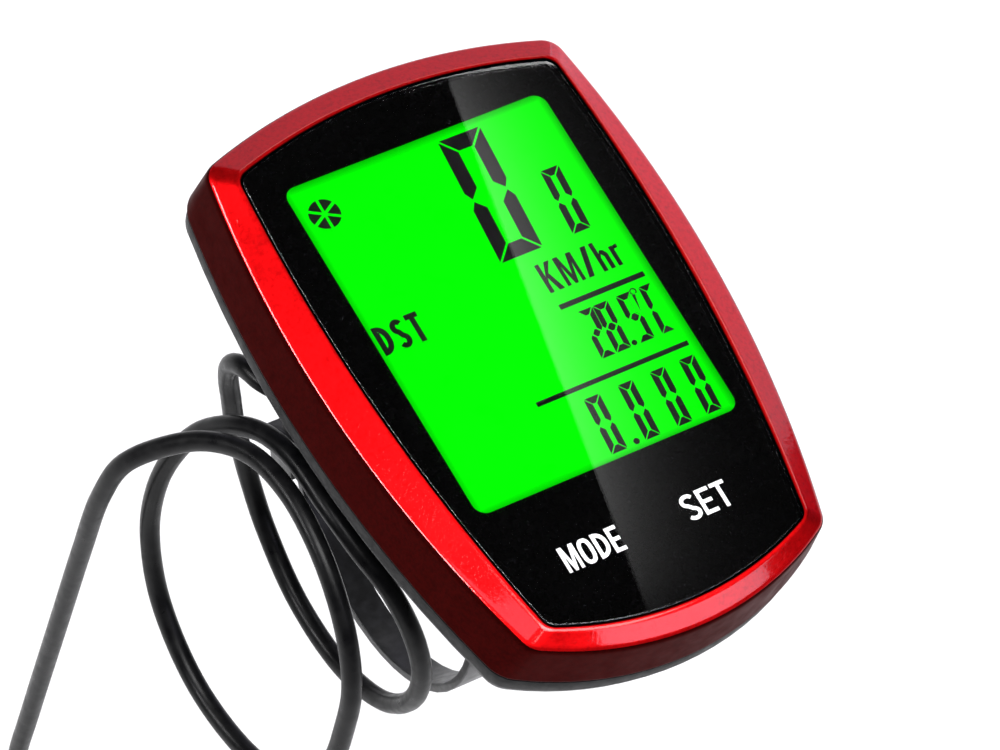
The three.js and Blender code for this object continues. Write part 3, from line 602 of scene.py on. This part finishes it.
def outline_points(o, side=40, end=40, corner=12):
    """The barrel outline's points, anticlockwise from the lower right corner, in the part's frame."""
    side_x, side_y, r = o["half"] - o["side_r"], o["side_y"], o["corner"]
    top_y, bottom_y = o["top"] - o["top_r"], o["bottom_r"] - o["bottom"]
    upper = corner_centre(side_x, side_y, o["side_r"] - r, top_y, o["top_r"] - r, 1)
    lower = corner_centre(side_x, side_y, o["side_r"] - r, bottom_y, o["bottom_r"] - r, -1)
    side_low = math.atan2(lower[1] - side_y, lower[0] - side_x)
    side_high = math.atan2(upper[1] - side_y, upper[0] - side_x)
    top_start = math.atan2(upper[1] - top_y, upper[0])
    bottom_end = math.atan2(lower[1] - bottom_y, lower[0])
    pi = math.pi
    points = []
    for cx, cy, radius, start, stop, steps in (
        (side_x, side_y, o["side_r"], side_low, side_high, side),
        (*upper, r, side_high, top_start, corner),
        (0, top_y, o["top_r"], top_start, pi - top_start, end),
        (-upper[0], upper[1], r, pi - top_start, pi - side_high, corner),
        (-side_x, side_y, o["side_r"], pi - side_high, pi - side_low, side),
        (-lower[0], lower[1], r, pi - side_low, pi - bottom_end, corner),
        (0, bottom_y, o["bottom_r"], -pi - bottom_end, bottom_end, end),
        (*lower, r, bottom_end, side_low, corner),
    ):
        for i in range(steps):
            a = start + (stop - start) * i / steps
            points.append((cx + radius * math.cos(a), SCREEN_Y + cy + radius * math.sin(a)))
    return points


def window_points(w, h, around):
    """Points on a w by h rectangle about the screen's centre, each in line with one in `around`."""
    points = []
    for x, y in around:
        y -= SCREEN_Y
        k = min(w / 2 / max(abs(x), 1e-6), h / 2 / max(abs(y), 1e-6))
        points.append((x * k, SCREEN_Y + y * k))
    return points


def skinned(name, levels):
    """A closed ring skinned round its profile of (points, z, softness), softening each edge."""
    rings = [[Vector((x, y, z)) for x, y in points] for points, z, _ in levels]
    count, columns = len(rings[0]), []
    for i in range(count):
        column = []
        for k, (_, _, soft) in enumerate(levels):
            here, before, after = rings[k][i], rings[k - 1][i], rings[(k + 1) % len(rings)][i]
            if not soft:
                column.append(here)
                continue
            back, on = (before - here).normalized(), (after - here).normalized()
            column.append(here + back * soft * 1.5)
            for t in (0, 0.2, 0.4, 0.6, 0.8, 1):
                column.append(here + back * soft * (1 - t) ** 2 + on * soft * t**2)
            column.append(here + on * soft * 1.5)
        columns.append(column)
    high = len(columns[0])
    faces = []
    for i in range(count):
        j = (i + 1) % count
        for k in range(high):
            m = (k + 1) % high
            faces.append((i * high + k, j * high + k, j * high + m, i * high + m))
    return mesh_from(name, [p for column in columns for p in column], faces)


def capped(name, rings):
    """A solid skinned through (points, z) rings and closed by a flat face at each end."""
    count = len(rings[0][0])
    points = [(x, y, z) for ring, z in rings for x, y in ring]
    faces = []
    for k in range(len(rings) - 1):
        for i in range(count):
            j = (i + 1) % count
            faces.append((k * count + i, k * count + j, (k + 1) * count + j, (k + 1) * count + i))
    last = (len(rings) - 1) * count
    faces += [tuple(range(count)), tuple(range(last, last + count))]
    return mesh_from(name, points, faces)


def turned(name, profile, matrix, segments=48):
    """A solid of revolution from (radius, height) pairs about Z, then placed by the matrix."""
    points, faces = [], []
    for i in range(segments):
        a = 2 * math.pi * i / segments
        points += [matrix @ Vector((r * math.cos(a), r * math.sin(a), z)) for r, z in profile]
    high = len(profile)
    for i in range(segments):
        j = (i + 1) % segments
        for k in range(high - 1):
            faces.append((i * high + k, j * high + k, j * high + k + 1, i * high + k + 1))
    faces.append(tuple(i * high for i in range(segments)))
    faces.append(tuple(i * high + high - 1 for i in range(segments)))
    return mesh_from(name, points, faces)


def flat_mesh(name, outlines, z, thickness):
    """Flat shapes about the screen's centre; an outline inside another is a hole in it."""
    data = bpy.data.curves.new(name, "CURVE")
    data.dimensions = "2D"
    data.fill_mode = "BOTH"
    data.extrude = thickness / 2 * MM
    for outline in outlines:
        spline = data.splines.new("POLY")
        spline.points.add(len(outline) - 1)
        for knot, (x, y) in zip(spline.points, outline):
            knot.co = ((VIEW_X + x) * MM, (SCREEN_Y + VIEW_Y + y) * MM, 0, 1)
        spline.use_cyclic_u = True
    return solid_of(data, lambda v: v + Vector((0, 0, (z + thickness / 2) * MM)))


def solid_of(data, move):
    """The mesh of a curve or text, each point moved, with its seams closed."""
    trial = bpy.data.objects.new("trial", data)
    scene.collection.objects.link(trial)
    mesh = bpy.data.meshes.new_from_object(trial.evaluated_get(bpy.context.evaluated_depsgraph_get()))
    bpy.data.objects.remove(trial)
    work = bmesh.new()
    work.from_mesh(mesh)
    bmesh.ops.remove_doubles(work, verts=work.verts, dist=FINE_WELD * MM)
    bmesh.ops.recalc_face_normals(work, faces=work.faces)
    work.to_mesh(mesh)
    work.free()
    for v in mesh.vertices:
        v.co = move(v.co)
    return mesh


# --------------------------------------------------------------------------------------------
# Front of the head
# --------------------------------------------------------------------------------------------

MOUTH = dict(
    half=19.4, side_r=198, side_y=7.3, top=26.2, top_r=60, bottom=36.55, bottom_r=36.5, corner=1.6
)
CREASE = dict(
    half=22.9, side_r=132, side_y=3.1, top=29.6, top_r=62, bottom=39.05, bottom_r=34.3, corner=2.4
)
PARTING = dict(
    half=24.1, side_r=133, side_y=3.1, top=30.6, top_r=63, bottom=39.2, bottom_r=34, corner=4
)
PARTING_Z, CREASE_Z, LENS_TOP, LENS_T = 27.15, 33.55, 35, 0.85
LIP_RISE, LIP_OUT, MOUTH_GAP, GAP, CASE_WALL = 0.03, 0.38, 0.22, 0.3, 1.8
SHELF_UNDER, SHELF_TOP, SHELF_W, SHELF_H = 32.85, 33.75, 33, 41.8
MASK_Z, MASK_T, MASK_INSET = 33.85, 0.2, 0.1
SCREW_PLACES = ((14, 23.6), (-14, 23.6), (9.5, -30.5), (-9.5, -30.5))


def bezel_mesh():
    """The red front as one closed ring: side wall, bevel, lip, mouth, shelf and inner faces."""
    mouth = outline_points(MOUTH)
    opening = window_points(SHELF_W, SHELF_H, mouth)
    return skinned("red_front", [
        (outline_points(PARTING), PARTING_Z, 0.25),
        (outline_points(CREASE), CREASE_Z, 0.6),
        (outline_points(grow(MOUTH, LIP_OUT)), LENS_TOP + LIP_RISE, 0.28),
        (mouth, LENS_TOP + LIP_RISE, 0.07),
        (mouth, SHELF_TOP, 0),
        (opening, SHELF_TOP, 0),
        (opening, SHELF_UNDER, 0),
        (outline_points(grow(CREASE, -CASE_WALL)), SHELF_UNDER, 0),
        (outline_points(grow(PARTING, -CASE_WALL)), PARTING_Z, 0),
    ])


def screw_post_meshes():
    """The four hollow posts under the bezel's shelf, as one mesh."""
    joined = bmesh.new()
    for x, y in SCREW_PLACES:
        post = skinned("post", [
            (circle(x, SCREEN_Y + y, 2.2), PARTING_Z + 0.2, 0.15),
            (circle(x, SCREEN_Y + y, 2.2), SHELF_TOP - GAP, 0),
            (circle(x, SCREEN_Y + y, 0.95), SHELF_TOP - GAP, 0),
            (circle(x, SCREEN_Y + y, 0.95), PARTING_Z + 0.2, 0.1),
        ])
        joined.from_mesh(post)
    mesh = bpy.data.meshes.new("screw_posts")
    joined.to_mesh(mesh)
    joined.free()
    return mesh


def circle(x, y, r, steps=32):
    """Points round a circle, anticlockwise."""
    turns = [2 * math.pi * i / steps for i in range(steps)]
    return [(x + r * math.cos(a), y + r * math.sin(a)) for a in turns]


def rounded_window(w, h, r, steps=8):
    """A w by h rectangle about the screen's centre, with its corners rounded to r."""
    points = []
    for sx, sy, start in ((1, 1, 0), (-1, 1, 90), (-1, -1, 180), (1, -1, 270)):
        for i in range(steps + 1):
            a = math.radians(start + 90 * i / steps)
            points.append((sx * (w / 2 - r) + r * math.cos(a), sy * (h / 2 - r) + r * math.sin(a)))
    return points


def lens_mesh():
    """The clear front, with its top edge rounded off."""
    low, edge, lens = LENS_TOP - LENS_T, 0.14, grow(MOUTH, -MOUTH_GAP)
    rings = [(outline_points(lens), low), (outline_points(lens), LENS_TOP - edge)]
    for t in (0.2, 0.4, 0.6, 0.8, 1.0):
        rings.append((outline_points(grow(lens, -edge * t * t)), LENS_TOP - edge * (1 - t) ** 2))
    rings.append((outline_points(grow(lens, -2 * edge)), LENS_TOP))
    return capped("front_lens", rings)


def mask_mesh():
    """The black border behind the lens, with the display's window cut in it."""
    edge = outline_points(grow(MOUTH, -MOUTH_GAP - MASK_INSET))
    outer = [(x - VIEW_X, y - SCREEN_Y - VIEW_Y) for x, y in edge]
    window = rounded_window(WINDOW_W, WINDOW_H, WINDOW_R)
    return flat_mesh("printed_border", [outer, window], MASK_Z, MASK_T)


WALL_TOP = CREASE_Z - 0.06  # the side wall's darker red, painted shade without the gloss, ends here
BEZEL_FINISHES = (LOOKS["red_bezel"], wall_red_painted_shade, LOOKS["black_print"])
bezel = add_piece("bezel", bezel_mesh(), BEZEL_FINISHES[0], "front_bezel")
for finish in BEZEL_FINISHES[1:]:
    bezel.data.materials.append(finish)
faces_round = len(bezel.data.vertices) // len(outline_points(MOUTH))  # in one turn of the ring's profile
# painted shade: the faces from the mouth's rim down to the window take the black print, darkening the gap
# beside the lens
gap_shade_from, gap_shade_to = faces_round - 9, faces_round - 3  # from the mouth's rim down to the window
for face in bezel.data.polygons:
    if gap_shade_from <= face.index % faces_round < gap_shade_to:
        face.material_index = 2
    # faces below this take the darker red: painted shade on the side wall
    elif face.center.z < WALL_TOP * MM:
        face.material_index = 1
add_piece("bezel_posts", screw_post_meshes(), wall_red_painted_shade, body="head", slot="red_bezel")
add_piece("front_lens", lens_mesh(), LOOKS["clear_lens"], "lens")
add_piece("printed_border", mask_mesh(), LOOKS["black_print"], "lens_mask")

# --------------------------------------------------------------------------------------------
# Readouts and legends
# --------------------------------------------------------------------------------------------

INK_Z, INK_T = 33.705, 0.06
LEGEND_Z, LEGEND_T = 34.055, 0.03
SEGMENTS = {"0": "abcdef", "2": "abdeg", "8": "abcdefg", "9": "abcdfg", "C": "adef"}
LEAN = 0.075  # sideways per unit of height


def digit(char, x0, x1, y0, y1, t, gap):
    """The lit segments of one seven-segment figure, with mitred ends."""
    w, h = x1 - x0 - LEAN * (y1 - y0), y1 - y0
    m, s = h / 2, t * 0.62
    shapes = {
        "a": [(gap, h), (w - gap, h), (w - t, h - t), (t, h - t)],
        "d": [(gap, 0), (w - gap, 0), (w - t, t), (t, t)],
        "f": [(0, h - gap), (t - gap, h - t - gap), (t - gap, m + s + gap), (s * 0.5, m + gap), (0, m + s)],
        "e": [(0, gap), (t - gap, t + gap), (t - gap, m - s - gap), (s * 0.5, m - gap), (0, m - s)],
        "g": [(s, m), (t + gap, m + s), (w - t - gap, m + s), (w - s, m), (w - t - gap, m - s),
              (t + gap, m - s)],
    }
    shapes["b"] = [(w - x, y) for x, y in shapes["f"]]
    shapes["c"] = [(w - x, y) for x, y in shapes["e"]]
    return [[(x0 + x + LEAN * y, y0 + y) for x, y in shapes[name]] for name in SEGMENTS[char]]


def bar(x0, x1, y, t):
    """A level line t thick from x0 to x1."""
    return [(x0, y - t / 2), (x1, y - t / 2), (x1, y + t / 2), (x0, y + t / 2)]


def oval(x0, x1, y0, y1, power=2.6, steps=40):
    """A squared-off oval filling the box."""
    points = []
    for i in range(steps):
        c, s = math.cos(2 * math.pi * i / steps), math.sin(2 * math.pi * i / steps)
        k = (abs(c) ** power + abs(s) ** power) ** (-1 / power)
        points.append(((x0 + x1) / 2 + (x1 - x0) / 2 * k * c, (y0 + y1) / 2 + (y1 - y0) / 2 * k * s))
    return points


def stroke(points, t):
    """The outline of one line of thickness t along the points, square at both ends."""
    left, right = [], []
    for i, (x, y) in enumerate(points):
        (ax, ay), (bx, by) = points[max(i - 1, 0)], points[min(i + 1, len(points) - 1)]
        length = math.hypot(bx - ax, by - ay)
        nx, ny = (ay - by) / length * t / 2, (bx - ax) / length * t / 2
        left.append((x + nx, y + ny))
        right.append((x - nx, y - ny))
    return left + right[::-1]


def letter(char, w, h, t):
    """The outlines of one plain capital or small letter, w by h, with strokes t thick."""
    m = h / 2
    if char == "O":
        return [oval(0, w, 0, h), oval(t, w - t, t, h - t)]
    if char == "D":
        bow = [p for p in oval(-w, w, 0, h, 2.4) if p[0] > 0.3 * w]
        inner = [p for p in oval(t - w, w - t, t, h - t, 2.4) if p[0] > 0.25 * w]
        bow.sort(key=lambda p: math.atan2(p[1] - m, p[0]))
        inner.sort(key=lambda p: math.atan2(p[1] - m, p[0]))
        return [[(0, 0), *bow, (0, h)], [(t, t), *inner, (t, h - t)]]
    if char == "S":
        curve = []
        for i in range(29):
            a = math.radians(30 + 240 * i / 28)
            curve.append((w / 2 + (w - t) / 2 * math.cos(a), 0.745 * h + (0.255 * h - t / 2) * math.sin(a)))
        lower = [(w - x, h - y) for x, y in curve[::-1]]
        return [stroke([*curve[:-2], *lower[2:]], t)]
    if char == "M":
        t *= 0.85
    return [{
        "M": [(0, 0), (t, 0), (t, 0.7 * h), (w / 2 - 0.42 * t, 0), (w / 2 + 0.42 * t, 0), (w - t, 0.7 * h),
              (w - t, 0), (w, 0), (w, h), (w - 1.4 * t, h), (w / 2, 0.3 * h), (1.4 * t, h), (0, h)],
        "E": [(0, 0), (w, 0), (w, t), (t, t), (t, m - t / 2), (0.92 * w, m - t / 2), (0.92 * w, m + t / 2),
              (t, m + t / 2), (t, h - t), (w, h - t), (w, h), (0, h)],
        "T": [((w - t) / 2, 0), ((w + t) / 2, 0), ((w + t) / 2, h - t), (w, h - t), (w, h), (0, h),
              (0, h - t), ((w - t) / 2, h - t)],
        "K": [(0, 0), (t, 0), (t, 0.34 * h), (0.36 * w, 0.5 * h), (w - 1.25 * t, 0), (w, 0),
              (0.56 * w, 0.62 * h), (w, h), (w - 1.3 * t, h), (t, 0.53 * h), (t, h), (0, h)],
        "h": [(0, 0), (t, 0), (t, 0.44 * h), (0.3 * w + t / 2, 0.55 * h), (w - 1.5 * t, 0.56 * h),
              (w - t, 0.46 * h), (w - t, 0), (w, 0), (w, 0.52 * h), (w - 0.7 * t, 0.66 * h),
              (0.5 * w, 0.69 * h), (t, 0.58 * h), (t, h), (0, h)],
        "r": [(0, 0), (t, 0), (t, 0.42 * h), (0.5 * w, 0.56 * h), (w, 0.58 * h), (w, 0.7 * h),
              (0.55 * w, 0.68 * h), (t, 0.57 * h), (t, 0.68 * h), (0, 0.68 * h)],
        "/": [(0, 0), (1.3 * t, 0), (w, h), (w - 1.3 * t, h)],
    }[char]]


LETTER_W = {"M": 1.25, "/": 0.82, "h": 0.8, "r": 0.55, "O": 1.08, "T": 0.95, "E": 0.88}


def word(text, x0, x1, y0, y1, t, gap):
    """Outlines of a word filling the box about the screen's centre."""
    share = (x1 - x0 - gap * (len(text) - 1)) / sum(LETTER_W.get(char, 1) for char in text)
    shapes, x = [], x0
    for char in text:
        w = LETTER_W.get(char, 1) * share
        shapes += [[(x + px, y0 + py) for px, py in outline] for outline in letter(char, w, y1 - y0, t)]
        x += w + gap
    return shapes


def wheel_icon(x, y, r):
    """A wheel: six dark sectors between clear spokes."""
    shapes = []
    for k in range(6):
        start, stop = math.radians(60 * k + 36), math.radians(60 * k + 84)
        rim = [start + (stop - start) * i / 10 for i in range(11)]
        tip = (x + 0.2 * r * math.cos((start + stop) / 2), y + 0.2 * r * math.sin((start + stop) / 2))
        shapes.append([tip, *((x + r * math.cos(a), y + r * math.sin(a)) for a in rim)])
    return shapes


readout_shapes = [
    *digit("0", 1.3, 7.45, 4.1, 19.1, 1.72, 0.17),
    *digit("0", 10.0, 12.75, 4.15, 11.9, 0.86, 0.11),
    *digit("2", 5.3, 7.4, -9.6, -3.95, 0.66, 0.08),
    *digit("8", 7.05, 9.25, -9.6, -3.95, 0.66, 0.08),
    *digit("9", 9.85, 12.05, -9.6, -3.95, 0.66, 0.08),
    *digit("C", 12.6, 14.5, -9.6, -3.95, 0.66, 0.08),
    *digit("0", 0.6, 2.95, -19.4, -12.9, 0.76, 0.09),
    *digit("0", 4.65, 6.9, -19.4, -12.9, 0.76, 0.09),
    *digit("0", 8.5, 10.75, -19.4, -12.9, 0.76, 0.09),
    *digit("0", 12.0, 14.3, -19.4, -12.9, 0.76, 0.09),
    circle(9.35, -9.3, 0.3, 16),
    circle(3.7, -19.1, 0.34, 16),
    circle(12.3, -4.1, 0.38, 20),
    circle(12.3, -4.1, 0.26, 20),
    bar(4.3, 14.45, -2.75, 0.58),
    bar(-3.6, 14.5, -11.5, 0.52),
    *wheel_icon(-12.6, 16.2, 1.7),
]
add_piece("readouts", flat_mesh("readouts", readout_shapes, INK_Z, INK_T), ink, body="head", slot="lcd_glass")

for name, text, box, weight in (
    ("unit_text", "KM/hr", (4.3, 13.5, -0.95, 2.5), 0.46),
    ("distance_text", "DST", (-14.9, -9.7, -0.6, 2.75), 0.56),
):
    mesh = flat_mesh(name, word(text, *box, weight, 0.42), INK_Z, INK_T)
    add_piece(name, mesh, ink, body="head", slot="lcd_glass")
for name, text, box in (
    ("mode_legend", "MODE", (-10.25, -3.5, -29.2, -26.35)),
    ("set_legend", "SET", (3.9, 9.3, -29.3, -26.4)),
):
    mesh = flat_mesh(name, word(text, *box, 0.41, 0.26), LEGEND_Z, LEGEND_T)
    add_piece(name, mesh, legend_white_painted_glow, body="head", slot="black_print")

# --------------------------------------------------------------------------------------------
# Everything else: each CAD piece with its edges rounded and its own finish
# --------------------------------------------------------------------------------------------

SPECIAL = {"front_bezel", "lens", "lens_mask", "cable_lead", "cable_coil", "cable_tail"}
SPECIAL |= {"cable_boot", "sensor_boot", "lcd_panel"}
ROUNDING = {"back_shell": 0.14, "bracket_base": 0.2, "battery_cover": 0.16, "sensor_case": 0.5,
            "sensor_pad": 0.3, "cable_tie_left": 0.14, "cable_tie_right": 0.14, "coil_tie": 0.15,
            "mode_button": 0.2, "set_button": 0.2, "bar_pad": 0.15}
SMALL_ROUNDING = 0.06

for slot in frame["nodes"]["lcd_panel"].material_slots:
    slot.material = LOOKS["lcd_glass"]

for node in sorted(set(frame["nodes"]) - SPECIAL):
    mesh = softened(node, ROUNDING.get(node, SMALL_ROUNDING))
    add_piece(f"{node}_finished", mesh, LOOKS[SLOT_OF[node]], node)

# --------------------------------------------------------------------------------------------
# Strain reliefs
# --------------------------------------------------------------------------------------------


RIB_DEPTH = 0.16


def ribbed(start, stop, wide, narrow, ribs, steps=10):
    """A taper from start to stop that narrows from wide to narrow, ringed by soft ribs."""
    profile = []
    for i in range(ribs * steps + 1):
        t = i / (ribs * steps)
        depth = RIB_DEPTH * (0.5 - 0.5 * math.cos(2 * math.pi * ribs * t))
        profile.append((wide + (narrow - wide) * t - depth, start + (stop - start) * t))
    return profile


BOOT_L = 4.6
boot_profile = [(1.2, 0), (1.5, 0.06), (1.6, 0.2), (1.6, 2.2), (1.9, 2.24), (1.95, 2.35)]
boot_profile += [*ribbed(2.5, 4.45, 1.93, 1.55, 3), (1.45, 4.55), (1.2, BOOT_L)]
boot_turn = Matrix.Translation((EXIT[0] + BOOT_L, *EXIT[1:])) @ Matrix.Rotation(math.radians(-90), 4, "Y")
boot = turned("boot", boot_profile, boot_turn)
add_piece("strain_relief", boot, LOOKS["rubber"], "cable_boot")

sensor_mid = SENSOR_TOP - SENSOR_HALF
entry_profile = [(1.2, 15.8), (1.5, 15.9), (1.5, 17.3), (2.3, 17.3), (2.5, 17.45)]
entry_profile += [*ribbed(17.8, 22.7, 2.48, 1.75, 4), (1.6, 22.9), (1.2, 23)]
entry = turned("entry", entry_profile, Matrix.Translation((HANG_X, HANG_Y, sensor_mid)))
add_piece("sensor_relief", entry, LOOKS["rubber"], "sensor_boot")

# --------------------------------------------------------------------------------------------
# Studio
# --------------------------------------------------------------------------------------------

FLOOR_Z = -166
COOL = (0.96, 0.93, 1.18)


def make_floor():
    """A pale plain floor just under the sensor."""
    half = 4000
    look = Finish("studio_floor", (0.93, 0.93, 0.93), 0.6)
    look.tinted((0.91, 0.91, 0.91), 60).worn(0.05, 40).bumped((1.5, 0.02, 0.2))
    corners = [(-half, -half, FLOOR_Z), (half, -half, FLOOR_Z), (half, half, FLOOR_Z), (-half, half, FLOOR_Z)]
    mesh = mesh_from("studio_floor", corners, [(0, 1, 2, 3)])
    mesh.materials.append(look.material)
    floor = bpy.data.objects.new("studio_floor", mesh)
    scene.collection.objects.link(floor)


def softbox(name, place, aim, w, h, radiance, color=(1, 1, 1), fade=None, turn=0.0):
    """An area light in millimetres; with a fade it dims from one side by that power, and to both ends."""
    data = bpy.data.lights.new(name, "AREA")
    data.shape = "RECTANGLE"
    data.size, data.size_y = w * MM, h * MM
    data.energy = radiance * math.pi * w * h * MM * MM
    data.color = color
    light = bpy.data.objects.new(name, data)
    light.location = Vector(place) * MM
    away = (Vector(place) - Vector(aim)).normalized()
    faced = Matrix.Translation(light.location) @ away.to_track_quat("Z", "Y").to_matrix().to_4x4()
    light.matrix_world = faced @ Matrix.Rotation(math.radians(turn), 4, "Z")
    scene.collection.objects.link(light)
    if fade:
        data.use_nodes = True
        tree = data.node_tree
        geometry = tree.nodes.new("ShaderNodeNewGeometry")
        parts = tree.nodes.new("ShaderNodeSeparateXYZ")
        tree.links.new(geometry.outputs["Parametric"], parts.inputs["Vector"])
        across, along = parts.outputs["X"], parts.outputs["Y"]
        from_end = math_node(tree, "SUBTRACT", 1, along)
        swell = math_node(tree, "MULTIPLY", math_node(tree, "MULTIPLY", along, 4), from_end)
        shine = math_node(tree, "MULTIPLY", math_node(tree, "POWER", across, fade), swell)
        tree.links.new(shine, tree.nodes["Emission"].inputs["Strength"])


def make_studio():
    world = bpy.data.worlds.new("studio")
    scene.world = world
    world.use_nodes = True
    sky = world.node_tree.nodes["Background"]
    sky.inputs["Color"].default_value = (1, 1, 1, 1)
    sky.inputs["Strength"].default_value = 0.015
    softbox("key_top", (-110, -88, 612), (-20, 0, 30), 300, 300, 5)
    softbox("edge_left", (-534, 185, 292), (-22, 0, 30), 420, 110, 18)
    softbox("corner", (-415, -20, 480), (-20, -20, 30), 130, 130, 1.4, COOL)
    softbox("front", (250, -508, 395), (0, 0, 30), 470, 140, 2.9, COOL, turn=-20.6)
    softbox("right", (599, 300, 54), (0, 0, 30), 410, 300, 0.85, COOL)
    softbox("right_high", (600, 230, 350), (0, 0, 30), 320, 130, 2.7)
    softbox("back", (290, 610, 130), (0, 0, 30), 580, 310, 0.46, COOL)
    softbox("back_high", (270, 560, 370), (0, 0, 30), 360, 130, 1.4)
    softbox("floor_front", (-150, -450, 1400), (-100, -300, FLOOR_Z), 1400, 1000, 6.4)
    # reflected in the right-hand part of the lens, with a crisp left edge
    softbox("glare", (225.8, 149.6, 400), (225.8, 149.6, 0), 80, 144, 1.15, fade=10, turn=-11.36)


make_floor()
make_studio()
